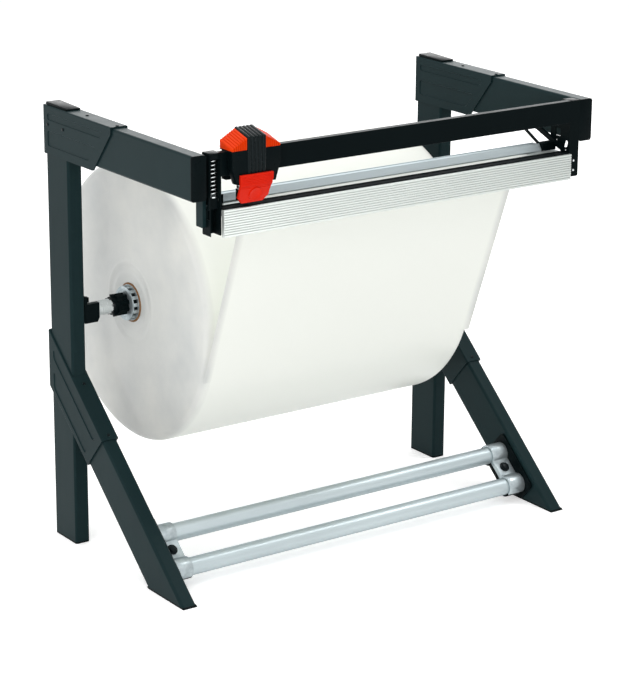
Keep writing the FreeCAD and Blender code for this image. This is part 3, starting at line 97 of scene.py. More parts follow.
# --- modelling bench -------------------------------------------------------
class Bench:
    """Modelling moves that all makers of pieces share."""

    @staticmethod
    def clear() -> None:
        """Leave edit mode and deselect everything."""
        if bpy.context.object is not None and bpy.context.object.mode != "OBJECT":
            bpy.ops.object.mode_set(mode="OBJECT")
        bpy.ops.object.select_all(action="DESELECT")

    @staticmethod
    def pick(piece: Piece) -> None:
        """Select one piece and make it active."""
        Bench.clear()
        piece.select_set(True)
        bpy.context.view_layer.objects.active = piece

    @staticmethod
    def fresh(name: str) -> Piece:
        """Name the primitive just added and put its place, turn and size into its mesh."""
        piece = bpy.context.object
        piece.name = name
        Bench.pick(piece)
        bpy.ops.object.transform_apply(location=True, rotation=True, scale=True)
        return piece

    @staticmethod
    def block(name: str, low: Place, high: Place) -> Piece:
        """Rectangular block between two corners.

        Args:
            name: Name of the new piece.
            low: Lowest corner.
            high: Highest corner.

        Returns:
            The new piece.
        """
        Bench.clear()
        a, b = Vector(low), Vector(high)
        bpy.ops.mesh.primitive_cube_add(size=1, location=(a + b) / 2, scale=b - a)
        return Bench.fresh(name)

    @staticmethod
    def rod(name: str, start: Place, end: Place, radius: float, sides: int = ROUND) -> Piece:
        """Round bar between two points.

        Args:
            name: Name of the new piece.
            start: Middle of its first end.
            end: Middle of its other end.
            radius: Its radius.
            sides: Flats round it.

        Returns:
            The new piece.
        """
        Bench.clear()
        a, b = Vector(start), Vector(end)
        bpy.ops.mesh.primitive_cylinder_add(vertices=sides, radius=radius, depth=(b - a).length,
                                            location=(a + b) / 2,
                                            rotation=(b - a).to_track_quat("Z", "Y").to_euler())
        return Bench.fresh(name)

    @staticmethod
    @contextmanager
    def editing(piece: Piece) -> Iterator[None]:
        """Edit mode on one piece, with all of it selected."""
        Bench.pick(piece)
        bpy.ops.object.mode_set(mode="EDIT")
        bpy.ops.mesh.select_all(action="SELECT")
        yield
        bpy.ops.object.mode_set(mode="OBJECT")

    @staticmethod
    def edit(piece: Piece, kind: str, items: str, chosen: Callable[..., bool],
             moves: Sequence[Callable[[], object]]) -> Piece:
        """Select the parts of a mesh that pass a test and run edit-mode moves on them.

        Args:
            piece: Piece to edit.
            kind: Selection mode.
            items: Name of the mesh's own list of such parts.
            chosen: Test that a part passes to be selected.
            moves: Operators to run in turn.

        Returns:
            The edited piece.
        """
        with Bench.editing(piece):
            bpy.ops.mesh.select_mode(type=kind)
            bpy.ops.mesh.select_all(action="DESELECT")
        for item in getattr(piece.data, items):
            item.select = chosen(item)
        bpy.ops.object.mode_set(mode="EDIT")
        for move in moves:
            move()
        bpy.ops.object.mode_set(mode="OBJECT")
        return piece

    @staticmethod
    def shape(piece: Piece, faces: Callable[..., bool], *moves: Callable[[], object]) -> Piece:
        """Run edit-mode moves on the faces that pass a test."""
        return Bench.edit(piece, "FACE", "polygons", faces, moves)

    @staticmethod
    def drag(piece: Piece, points: Callable[[Vector], bool], offset: Place) -> Piece:
        """Move the vertices whose place passes a test."""
        return Bench.edit(piece, "VERT", "vertices", lambda vertex: points(vertex.co),
                          [lambda: bpy.ops.transform.translate(value=offset)])

    @staticmethod
    def drag_level(piece: Piece, axis: int, level: float, points: Callable[[Vector], bool],
                   offset: Place) -> Piece:
        """Move the vertices at one level along an axis whose place passes a test."""
        return Bench.drag(piece, lambda at: abs(at[axis] - level) < 2e-5 and points(at), offset)

    @staticmethod
    def levels(piece: Piece, axis: int) -> List[float]:
        """The distinct places of a piece's vertices along an axis."""
        return sorted({round(vertex.co[axis], 5) for vertex in piece.data.vertices})

    @staticmethod
    def refined(node: str, name: str, width: float) -> Piece:
        """A node's form as one closed mesh with its edges rounded.

        Args:
            node: Node that gives the form.
            name: Name of the new piece.
            width: Width of the rounding.

        Returns:
            The new piece.
        """
        piece = bpy.data.objects.new(name, frame["nodes"][node].data.copy())
        bpy.context.scene.collection.objects.link(piece)
        with Bench.editing(piece):
            bpy.ops.mesh.remove_doubles(threshold=0.00001)
            bpy.ops.mesh.dissolve_limited(angle_limit=math.radians(0.6))
        Bench.soften(piece, width, 2, 38)
        return Bench.smooth(piece, 32)

    @staticmethod
    def score(piece: Piece, point: Place, normal: Place, **cut: bool) -> Piece:
        """Add a line of edges where a plane meets the piece."""
        with Bench.editing(piece):
            bpy.ops.mesh.bisect(plane_co=Vector(point), plane_no=Vector(normal).normalized(), **cut)
        return piece

    @staticmethod
    def trim(piece: Piece, point: Place, normal: Place) -> Piece:
        """Cut off what lies beyond a plane, on its normal's side, and close the cut."""
        return Bench.score(piece, point, normal, use_fill=True, clear_outer=True)

    @staticmethod
    def join(name: str, pieces: Sequence[Piece]) -> Piece:
        """Several pieces as one object."""
        Bench.clear()
        for piece in pieces:
            piece.select_set(True)
        bpy.context.view_layer.objects.active = pieces[0]
        if len(pieces) > 1:
            bpy.ops.object.join()
        pieces[0].name = name
        return pieces[0]

    @staticmethod
    def copy(piece: Piece, name: str) -> Piece:
        """A copy with its own mesh."""
        Bench.pick(piece)
        bpy.ops.object.duplicate()
        twin = bpy.context.object
        twin.name = name
        return twin

    @staticmethod
    def apply(piece: Piece, kind: str, **settings: object) -> Piece:
        """Add a modifier with the given settings and apply it."""
        Bench.pick(piece)
        modifier = piece.modifiers.new(kind.lower(), kind)
        for key, value in settings.items():
            setattr(modifier, key, value)
        bpy.ops.object.modifier_apply(modifier=modifier.name)
        return piece

    @staticmethod
    def cut(piece: Piece, *tools: Piece) -> Piece:
        """Take the space of the tools out of a piece."""
        tool = Bench.join("tool", tools)
        Bench.apply(piece, "BOOLEAN", object=tool, operation="DIFFERENCE", solver="EXACT", use_self=True)
        bpy.data.objects.remove(tool)
        return piece

    @staticmethod
    def weld(piece: Piece, *others: Piece) -> Piece:
        """Grow a piece together with others that it overlaps."""
        for other in others:
            Bench.apply(piece, "BOOLEAN", object=other, operation="UNION", solver="EXACT")
            bpy.data.objects.remove(other)
        return piece

    @staticmethod
    def soften(piece: Piece, width: float, segments: int = 2, angle: float = 40.0) -> Piece:
        """Round the edges that are sharper than an angle in degrees."""
        return Bench.apply(piece, "BEVEL", width=width, segments=segments, limit_method="ANGLE",
                           angle_limit=math.radians(angle), harden_normals=False)

    @staticmethod
    def smooth(piece: Piece, angle: float = 35.0) -> Piece:
        """Smooth shading up to an angle in degrees."""
        Bench.pick(piece)
        bpy.ops.object.shade_smooth_by_angle(angle=math.radians(angle))
        return piece

    @staticmethod
    def mirror_x(piece: Piece, name: str, middle: float) -> Piece:
        """A copy that is the mirror image about the plane X = middle."""
        twin = Bench.copy(piece, name)
        with Bench.editing(twin):
            bpy.ops.transform.mirror(constraint_axis=(True, False, False), center_override=(middle, 0, 0))
            bpy.ops.mesh.normals_make_consistent(inside=False)
        return twin

    @staticmethod
    def spin_copy(piece: Piece, centre: Vector, degrees: float) -> Piece:
        """A copy turned about the X axis through a point."""
        twin = Bench.copy(piece, piece.name)
        with Bench.editing(twin):
            bpy.ops.transform.rotate(value=math.radians(degrees), orient_axis="X", center_override=centre)
        return twin


# --- finishes --------------------------------------------------------------
class Wiring:
    """Adds nodes to a node tree, together with what their inputs take."""

    def __init__(self, tree: bpy.types.NodeTree) -> None:
        """Work on one tree."""
        self.tree = tree

    def node(self, kind: str, inputs: Dict[object, object], **settings: object) -> bpy.types.Node:
        """Add a node.

        Args:
            kind: Type of the node.
            inputs: Value or output socket for each input, by its name or number.
            settings: Attributes of the node.

        Returns:
            The new node.
        """
        node = self.tree.nodes.new(kind)
        for key, value in settings.items():
            setattr(node, key, value)
        for key, value in inputs.items():
            if isinstance(value, Socket):
                self.tree.links.new(value, node.inputs[key])
            else:
                node.inputs[key].default_value = value
        return node

    def spread(self, value: Socket, low: float, high: float, start: float = 0.0, end: float = 1.0) -> Socket:
        """Map a pattern from start..end to low..high."""
        return self.node("ShaderNodeMapRange", {"Value": value, "From Min": start, "From Max": end,
                                                "To Min": low, "To Max": high}).outputs[0]

    def maths(self, operation: str, first: object, second: object = 0.0) -> Socket:
        """One arithmetic step."""
        return self.node("ShaderNodeMath", {0: first, 1: second}, operation=operation).outputs[0]

    def seen(self) -> Socket:
        """One where a ray comes from the camera, a reflection or clear material, and zero elsewhere."""
        path = self.node("ShaderNodeLightPath", {}).outputs
        plain = self.maths("MAXIMUM", path["Is Camera Ray"], path["Is Glossy Ray"])
        return self.maths("MAXIMUM", plain, path["Is Transmission Ray"])


class Recipe(Wiring):
    """Node tree of one finish, built step by step."""

    def __init__(self, name: str) -> None:
        """Start from a plain shader."""
        self.material = bpy.data.materials.new(name)
        self.material.use_nodes = True
        super().__init__(self.material.node_tree)
        self.shader = self.tree.nodes["Principled BSDF"]
        self.place = self.node("ShaderNodeTexCoord", {}).outputs["Object"]
        self._normal: Optional[Socket] = None

    def set(self, **values: object) -> "Recipe":
        """Set the shader's own sockets, their names written with underscores."""
        for key, value in values.items():
            self.shader.inputs[key.replace("_", " ")].default_value = value
        return self

    def noise(self, scale: Place, detail: float = 3.0, rough: float = 0.5) -> Socket:
        """Cloudy pattern with its own scale along each axis, per metre."""
        place = self.node("ShaderNodeMapping", {"Vector": self.place, "Scale": Vector(scale)}).outputs[0]
        return self.node("ShaderNodeTexNoise", {"Vector": place, "Scale": 1.0, "Detail": detail,
                                                "Roughness": rough}).outputs["Fac"]

    def tint(self, share: Socket, first: object, second: object) -> Socket:
        """Mix of two colours, each written out or an output, by a pattern."""
        full = [colour if isinstance(colour, Socket) else (*colour, 1) for colour in (first, second)]
        return self.node("ShaderNodeMix", {0: share, 6: full[0], 7: full[1]}, data_type="RGBA").outputs[2]

    def use(self, name: str, output: Socket) -> None:
        """Feed one of the shader's sockets from an output."""
        self.tree.links.new(output, self.shader.inputs[name])

    def paint(self, pattern: Socket, first: Colour, second: Colour, start: float = 0.3,
              end: float = 0.7) -> None:
        """Base colour that goes from one colour to another as a pattern goes from start to end."""
        self.use("Base Color", self.tint(self.spread(pattern, 0, 1, start, end), first, second))

    def gloss(self, pattern: Socket, low: float, high: float, start: float = 0.3, end: float = 0.7) -> None:
        """Roughness that goes from low to high as a pattern goes from start to end."""
        self.use("Roughness", self.spread(pattern, low, high, start, end))

    def relief(self, height: Socket, depth: float, strength: float = 1.0) -> None:
        """Add a bump of a depth in metres, on top of the earlier ones."""
        inputs: Dict[object, object] = {"Height": height, "Distance": depth, "Strength": strength}
        if self._normal is not None:
            inputs["Normal"] = self._normal
        self._normal = self.node("ShaderNodeBump", inputs).outputs[0]
        self.use("Normal", self._normal)


@dataclass(frozen=True)
class Finish:
    """A finish in two near colours; each kind lays its own pattern, gloss and relief."""

    name: str
    colour: Colour
    shade: Colour

    def lay(self, recipe: Recipe) -> None:
        """Fill in the recipe."""
        raise NotImplementedError(self.name)

    def make(self) -> bpy.types.Material:
        """Build the material."""
        recipe = Recipe(self.name)
        self.lay(recipe)
        return recipe.material


@dataclass(frozen=True)
class PowderCoat(Finish):
    """Baked powder paint with a fine orange-peel grain."""

    low_gloss: float
    high_gloss: float
    grain: float = 0.00006
    shine: float = 0.12

    def lay(self, recipe: Recipe) -> None:
        """Fill in the recipe."""
        recipe.set(Specular_IOR_Level=self.shine, Specular_Tint=(*COOL, 1),
                   Sheen_Weight=0.05, Sheen_Roughness=0.35, Sheen_Tint=(0.70, 0.94, 1.0, 1))
        recipe.paint(recipe.noise((5, 5, 5), 4), self.shade, self.colour)
        recipe.gloss(recipe.noise((38, 38, 9), 5, 0.6), self.low_gloss, self.high_gloss, 0.25, 0.75)
        recipe.relief(recipe.noise((520, 520, 520), 3), self.grain)


@dataclass(frozen=True)
class Moulding(Finish):
    """Injection-moulded plastic with a spark-eroded surface."""

    rough: float
    grain: float = 0.00003
    shine: float = 0.4
    glint: Colour = (1.0, 1.0, 1.0)

    def lay(self, recipe: Recipe) -> None:
        """Fill in the recipe."""
        recipe.set(IOR=1.48, Specular_IOR_Level=self.shine, Specular_Tint=(*self.glint, 1))
        recipe.paint(recipe.noise((18, 18, 18), 4), self.shade, self.colour)
        recipe.gloss(recipe.noise((90, 90, 90), 5, 0.6), self.rough - 0.06, self.rough + 0.08)
        recipe.relief(recipe.noise((1500, 1500, 1500), 2), self.grain)


@dataclass(frozen=True)
class DrawnAluminium(Finish):
    """Clear anodised extrusion with die lines along X."""

    rough: float

    def lay(self, recipe: Recipe) -> None:
        """Fill in the recipe."""
        recipe.set(Metallic=0.65, Specular_Tint=(0.42, 0.46, 0.48, 1))
        lines = recipe.noise((1.5, 1300, 1300), 3, 0.5)
        cloud = recipe.noise((4, 14, 14), 3)
        shares = [recipe.maths("MULTIPLY", pattern, share)
                  for pattern, share in ((lines, 0.35), (cloud, 0.65))]
        recipe.paint(recipe.maths("ADD", *shares), self.shade, self.colour)
        recipe.gloss(lines, self.rough - 0.03, self.rough + 0.05)
        recipe.relief(lines, 0.000003)


@dataclass(frozen=True)
class CastAluminium(Finish):
    """Tumbled die casting, softly pitted."""

    rough: float

    def lay(self, recipe: Recipe) -> None:
        """Fill in the recipe."""
        recipe.set(Metallic=0.7, Specular_Tint=(0.45, 0.50, 0.52, 1))
        cloud = recipe.noise((70, 70, 70), 5, 0.6)
        recipe.paint(cloud, self.shade, self.colour)
        recipe.gloss(cloud, self.rough + 0.08, self.rough - 0.05)
        recipe.relief(recipe.noise((420, 420, 420), 4), 0.00008)


@dataclass(frozen=True)
class BrightSteel(Finish):
    """Ground and zinc-plated steel."""

    rough: float

    def lay(self, recipe: Recipe) -> None:
        """Fill in the recipe."""
        recipe.set(Metallic=1.0)
        turned = recipe.noise((1400, 60, 60), 3, 0.5)
        recipe.paint(turned, self.shade, self.colour)
        recipe.gloss(turned, self.rough, self.rough + 0.06)
        recipe.relief(turned, 0.000002)


@dataclass(frozen=True)
class SoftRubber(Finish):
    """Matt black rubber with a dusty bloom."""

    def lay(self, recipe: Recipe) -> None:
        """Fill in the recipe."""
        recipe.set(Specular_IOR_Level=0.04)
        dust = recipe.noise((40, 160, 160), 5, 0.6)
        recipe.paint(dust, self.shade, self.colour, 0.4, 0.75)
        recipe.gloss(dust, 0.65, 0.85, 0.0, 1.0)
        recipe.relief(recipe.noise((900, 900, 900), 2), 0.00004)


@dataclass(frozen=True)
class WoundFilm(Finish):
    """Milky plastic film, wound in many turns; the shade is that of the turns' edges, and painted shade
    darkens the end face towards the core.
    """

    # second mottle colour of the end face, which is also the painted shade near the core
    mottle_and_core_shade: Colour
    axis_y: float
    axis_z: float
    x0: float
    x1: float

    def lay(self, recipe: Recipe) -> None:
        """Fill in the recipe."""
        recipe.set(Roughness=0.42, IOR=1.45, Coat_Weight=0.15, Coat_Roughness=0.25, Specular_IOR_Level=0.35)
        x, y, z = recipe.node("ShaderNodeSeparateXYZ", {"Vector": recipe.place}).outputs
        squares = [recipe.maths("POWER", recipe.maths("SUBTRACT", along, middle), 2.0)
                   for along, middle in ((y, self.axis_y), (z, self.axis_z))]
        radius = recipe.maths("SQRT", recipe.maths("ADD", *squares))
        turns = recipe.node("ShaderNodeCombineXYZ", {"X": recipe.maths("MULTIPLY", radius, 420.0)}).outputs[0]
        rings = recipe.node("ShaderNodeTexNoise", {"Vector": turns, "Scale": 1.0, "Detail": 3.0,
                                                   "Roughness": 0.65}).outputs["Fac"]
        from_middle = recipe.maths("ABSOLUTE", recipe.maths("SUBTRACT", x, (self.x0 + self.x1) / 2))
        half = (self.x1 - self.x0) / 2
        on_end = recipe.spread(from_middle, 0, 1, half - 0.018, half - 0.004)
        cloud = recipe.spread(recipe.noise((7, 7, 7), 4, 0.55), 0, 1, 0.3, 0.75)
        # painted shade: the end face darkens towards the core, around the chuck
        painted_core_shade = recipe.maths("MULTIPLY", recipe.spread(radius, 1, 0, 0.04, 0.14), 0.6)
        face = recipe.tint(painted_core_shade, recipe.tint(cloud, self.shade, self.mottle_and_core_shade), self.mottle_and_core_shade)
        recipe.use("Base Color", recipe.tint(on_end, self.colour, face))
        recipe.relief(recipe.maths("MULTIPLY", recipe.spread(rings, 0, 1, 0.3, 0.7), on_end), 0.0004, 0.5)
        recipe.relief(recipe.noise((9, 5, 5), 3, 0.5), 0.004, 0.35)
        recipe.relief(recipe.noise((160, 160, 160), 3), 0.0002, 0.4)


@dataclass(frozen=True)
class Cardboard(Finish):
    """Spirally wound grey-brown board."""

    def lay(self, recipe: Recipe) -> None:
        """Fill in the recipe."""
        recipe.set(Specular_IOR_Level=0.2)
        fibre = recipe.noise((60, 400, 400), 5, 0.6)
        recipe.paint(fibre, self.shade, self.colour)
        recipe.gloss(fibre, 0.75, 0.95, 0.0, 1.0)
        recipe.relief(fibre, 0.0002)


# --- makers ----------------------------------------------------------------
@dataclass
class Dresser:
    """Hands out finishes and fixes finished pieces to their bodies."""

    finishes: Dict[Slot, bpy.types.Material]

    def dress(self, piece: Piece, slot: Slot, body: Body, *nodes: str,
              variant: Optional[Finish] = None) -> Piece:
        """Give a piece its finish, its body and the nodes it stands for.

        Args:
            piece: Finished piece, at rest in the row frame.
            slot: Finish that it takes.
            body: Body that it rides on.
            nodes: Nodes that it replaces.
            variant: Variant of the slot's finish, where the piece has one.

        Returns:
            The dressed piece.
        """
        piece.data.materials.clear()
        piece.data.materials.append(variant.make() if variant else self.finishes[slot])
        if nodes:
            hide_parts(*nodes)
        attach(piece, body.value)
        log.info("%s: %d faces", piece.name, len(piece.data.polygons))
        return piece

    def dress_nodes(self) -> None:
        """Give every node the finish of its slot."""
        for part in frame["record"]["subparts"]:
            node = frame["nodes"][part["node"]]
            node.data.materials.clear()
            node.data.materials.append(self.finishes[Slot(part["material_slot"])])


@dataclass
class FilmRoll:
    """Wound film with soft, slightly uneven edges; each ring is an inset and its depth."""

    x0: float = -0.3025
    x1: float = 0.3175
    axis_y: float = 0.0992
    axis_z: float = 0.4535
    radius: float = 0.270
    sides: int = 160
    edge_round: float = 0.016
    edge_steps: int = 6
    bands: int = 12
    sag: float = 0.0010
    lump: float = 0.16
    rings: Tuple[Tuple[float, float], ...] = (
        (0.054, 0.0), (0.060, 0.0), (0.056, 0.0), (0.003, 0.0010), (0.004, 0.0016), (0.004, -0.0012),
        (0.010, -0.0012), (0.003, 0.0014), (0.005, 0.0002), (0.008, -0.0016), (0.009, 0.0))

    def build(self, dresser: Dresser) -> None:
        """Model the roll and dress it."""
        start, end = (Vector((x, self.axis_y, self.axis_z)) for x in (self.x0, self.x1))
        roll = Bench.rod("wound_film", start, end, self.radius, self.sides)
        Bench.soften(roll, self.edge_round, self.edge_steps, 60)
        insets = [lambda ring=ring: bpy.ops.mesh.inset(thickness=ring[0], depth=ring[1], use_individual=True)
                  for ring in self.rings]
        Bench.shape(roll, lambda face: len(face.vertices) > 4, *insets,
                    lambda: bpy.ops.mesh.delete(type="FACE"),
                    lambda: bpy.ops.mesh.select_mode(type="EDGE"),
                    lambda: bpy.ops.mesh.select_non_manifold(extend=False),
                    lambda: bpy.ops.mesh.bridge_edge_loops(),
                    lambda: bpy.ops.mesh.normals_make_consistent(inside=False))
        for index in range(1, self.bands):
            Bench.score(roll, (self.x0 + (self.x1 - self.x0) * index / self.bands, 0, 0), (1, 0, 0))
        cloud = bpy.data.textures.new("roll_unevenness", "CLOUDS")
        cloud.noise_scale = self.lump
        Bench.apply(roll, "DISPLACE", texture=cloud, texture_coords="LOCAL", strength=self.sag, mid_level=1.0)
        Bench.smooth(roll, 60)
        dresser.dress(roll, Slot.FILM, Body.SPINDLE, "film_roll")


@dataclass
class FilmSheet:
    """Film drawn up from the roll, over the bed's lip and forward under the press rail."""

    x0: float = FilmRoll.x0
    x1: float = FilmRoll.x1
    foot: Tuple[float, float] = (-0.15499, 0.35983)
    lip: Tuple[float, float] = (-0.2998, 0.7340)
    lip_radius: float = 0.0065
    lip_angle: float = 20.2
    lip_steps: int = 6
    end_y: float = -0.3216
    thickness: float = 0.0006
    slack: float = 0.0012
    wave: float = 0.09
    columns: int = 48
    rows: int = 24

    def _path(self) -> List[Vector]:
        """Middle line of the film, from the roll to its cut end."""
        foot = Vector((0, *self.foot))
        lip = Vector((0, *self.lip))
        start = math.radians(self.lip_angle)
        steps = self.lip_steps
        turns = [start + (math.pi / 2 - start) * index / steps for index in range(steps + 1)]
        bend = [lip + Vector((0, math.cos(turn), math.sin(turn))) * self.lip_radius for turn in turns]
        rise = [foot.lerp(bend[0], index / self.rows) for index in range(self.rows)]
        return rise + bend + [Vector((0, self.end_y, bend[-1].z))]

    def _strip(self, path: List[Vector]) -> Piece:
        """Flat strip along the path.

        Args:
            path: Middle line of the film.

        Returns:
            The strip, one face deep and full width.
        """
        Bench.clear()
        half = 0.5
        bpy.ops.mesh.primitive_plane_add(size=2 * half)
        film = Bench.fresh("film_sheet")
        Bench.drag(film, lambda at: at.y < 0, path[0] + Vector((0, half, 0)))
        Bench.drag(film, lambda at: at.y > half - OVER, path[1] - Vector((0, half, 0)))
        for side, x in ((-half, self.x0), (half, self.x1)):
            Bench.drag_level(film, 0, side, lambda at: True, (x - side, 0, 0))
        ahead = path[1] - path[0]
        runs = [after - before for before, after in zip(path[1:], path[2:])]
        return Bench.edit(film, "EDGE", "edges", lambda edge: all(
            (film.data.vertices[index].co - path[1]).dot(ahead) > -1e-7 for index in edge.vertices),
            [lambda run=run: bpy.ops.mesh.extrude_region_move(TRANSFORM_OT_translate={"value": run})
             for run in runs])

    def _wave(self, film: Piece) -> None:
        """Press slight tension waves into the free stretch of the film."""
        free = film.vertex_groups.new(name="free")
        for vertex in film.data.vertices:
            share = (vertex.co.z - self.foot[1]) / (self.lip[1] - self.foot[1])
            free.add([vertex.index], math.sin(math.pi * min(1.0, max(0.0, share))), "REPLACE")
        waves = bpy.data.textures.new("tension_waves", "CLOUDS")
        waves.noise_scale = self.wave
        Bench.apply(film, "DISPLACE", texture=waves, texture_coords="LOCAL", strength=self.slack,
                    vertex_group=free.name)
        film.vertex_groups.clear()

    def build(self, dresser: Dresser) -> None:
        """Draw the film along its path, wave it and dress it."""
        path = self._path()
        film = self._strip(path)
        for index in range(1, self.columns):
            Bench.score(film, (self.x0 + (self.x1 - self.x0) * index / self.columns, 0, 0), (1, 0, 0))
        self._wave(film)
        Bench.apply(film, "SOLIDIFY", thickness=self.thickness, offset=0.0)
        with Bench.editing(film):
            bpy.ops.mesh.normals_make_consistent(inside=False)
        Bench.smooth(film, 50)
        dresser.dress(film, Slot.FILM, Body.STAND, "film_web")


@dataclass
class RollEnd:
    """Chuck and locking hub at both ends of the roll."""

    face_x: float = -0.3037
    roll_middle: float = 0.0075
    axis_y: float = FilmRoll.axis_y
    axis_z: float = FilmRoll.axis_z
    shaft: float = 0.0143
    length: float = 0.013
    disc_length: float = 0.0024
    disc_radius: float = 0.0328
    recess_radius: float = 0.0262
    recess_depth: float = 0.0012
    crown_radius: float = 0.0336
    lip_length: float = 0.0014
    lip_radius: float = 0.0346
    tooth_depth: float = 0.0058
    tooth_gap: float = 0.0072
    teeth: int = 15
    overlap: float = 0.0003
    edge_round: float = 0.0005
    disc_round: float = 0.0006
    chuck_fit: float = 0.00005
    drum_step: float = 0.0006
    plug_radius: float = 0.0265
    plug_length: float = 0.040
    hub_gap: float = 0.0003
    hub_length: float = 0.022
    lobe_radius: float = 0.0212
    scallop_at: float = 0.0238
    scallop_radius: float = 0.0058
    scallop_sides: int = 40
    lobe_round: float = 0.0012
    collar_round: float = 0.0007
    hub_fit: float = 0.0002
    lobes: int = 8
    collar_length: float = 0.008
    collar_radius: float = 0.0175
    wing_radius: float = 0.0215
    wing_width: float = 0.007
    wings: int = 5

    def _rod(self, name: str, x0: float, x1: float, radius: float, sides: int = FINE,
             up: float = 0.0) -> Piece:
        """Round bar along the spindle axis, or above it."""
        return Bench.rod(name, (x0, self.axis_y, self.axis_z + up), (x1, self.axis_y, self.axis_z + up),
                         radius, sides)

    def _key(self, x0: float, x1: float, width: float, low: float, high: float) -> Piece:
        """Block above the spindle axis, between two radii."""
        return Bench.block("tool", (x0, self.axis_y - width / 2, self.axis_z + low),
                           (x1, self.axis_y + width / 2, self.axis_z + high))

    def _around(self, tool: Piece, count: int) -> List[Piece]:
        """A tool and its copies, evenly round the spindle axis."""
        centre = Vector((0, self.axis_y, self.axis_z))
        return [tool] + [Bench.spin_copy(tool, centre, 360 * index / count) for index in range(1, count)]

    def _chuck(self, name: str) -> Piece:
        """Front disc, ring of teeth, thin lip on the core and the plug inside it."""
        x0, plug_x = self.face_x - self.length, self.face_x + self.plug_length
        crown_x, lip_x = x0 + self.disc_length, self.face_x - self.lip_length
        crown = self._rod(name, crown_x - self.overlap, lip_x + self.overlap, self.crown_radius)
        notch = self._key(crown_x - OVER, lip_x + OVER, self.tooth_gap,
                          self.crown_radius - self.tooth_depth, self.crown_radius + 4 * OVER)
        Bench.cut(crown, *self._around(notch, self.teeth))
        Bench.soften(crown, self.edge_round, 2, 50)
        disc = self._rod("disc", x0, crown_x, self.disc_radius)
        Bench.cut(disc, self._rod("recess", x0 - OVER, x0 + self.recess_depth, self.recess_radius, ROUND))
        Bench.soften(disc, self.disc_round, 2, 50)
        lip = self._rod("lip", lip_x, self.face_x, self.lip_radius)
        Bench.soften(lip, self.edge_round, 2, 50)
        plug = self._rod("plug", self.face_x - OVER, plug_x, self.plug_radius, COARSE)
        chuck = Bench.join(name, [crown, disc, lip, plug])
        bore = self._rod("bore", x0 - 2 * OVER, plug_x + 2 * OVER, self.shaft + self.chuck_fit, COARSE)
        Bench.cut(chuck, bore)
        return Bench.smooth(chuck, 30)

    def _drum(self, name: str) -> Piece:
        """Black ring under the teeth, which makes the gaps between them look dark."""
        x0 = self.face_x - self.length + self.disc_length + HAIR
        x1 = self.face_x - self.lip_length - HAIR
        floor = self.crown_radius - self.tooth_depth
        drum = self._rod(name, x0, x1, floor + self.drum_step)
        Bench.cut(drum, self._rod("bore", x0 - OVER, x1 + OVER, floor - OVER))
        return Bench.smooth(drum, 30)

    def _hub(self, name: str) -> Piece:
        """Star knob with rounded lobes and a winged collar."""
        x1 = self.face_x - self.length - self.hub_gap
        knob_x = x1 - self.hub_length
        x0 = knob_x - self.collar_length
        knob = self._rod(name, knob_x, x1, self.lobe_radius)
        scallop = self._rod("tool", knob_x - OVER, x1 + OVER, self.scallop_radius, self.scallop_sides,
                            self.scallop_at)
        Bench.cut(knob, *self._around(scallop, self.lobes))
        Bench.soften(knob, self.lobe_round, 3, 30)
        collar = self._rod("collar", x0, knob_x + OVER, self.collar_radius, ROUND)
        wing = self._key(x0, knob_x + OVER, self.wing_width, self.shaft, self.wing_radius)
        Bench.weld(collar, *self._around(wing, self.wings))
        Bench.soften(collar, self.collar_round, 2, 40)
        hub = Bench.join(name, [knob, collar])
        bore = self._rod("bore", x0 - 2 * OVER, x1 + 2 * OVER, self.shaft + self.hub_fit, COARSE)
        Bench.cut(hub, bore)
        return Bench.smooth(hub, 35)

    def build(self, dresser: Dresser) -> None:
        """Model both ends and dress them."""
        chuck, hub = self._chuck("left_toothed_chuck"), self._hub("left_star_hub")
        other_chuck = Bench.mirror_x(chuck, "right_toothed_chuck", self.roll_middle)
        other_hub = Bench.mirror_x(hub, "right_star_hub", self.roll_middle)
        drum = self._drum("left_chuck_drum")
        other_drum = Bench.mirror_x(drum, "right_chuck_drum", self.roll_middle)
        dresser.dress(drum, Slot.BLACK_PLASTIC, Body.SPINDLE)
        dresser.dress(other_drum, Slot.BLACK_PLASTIC, Body.SPINDLE)
        dresser.dress(chuck, Slot.CAST, Body.SPINDLE, "left_chuck")
        dresser.dress(hub, Slot.BLACK_PLASTIC, Body.LEFT_HUB, "left_locking_hub")
        dresser.dress(other_chuck, Slot.CAST, Body.SPINDLE, "right_chuck")
        dresser.dress(other_hub, Slot.BLACK_PLASTIC, Body.RIGHT_HUB, "right_locking_hub")


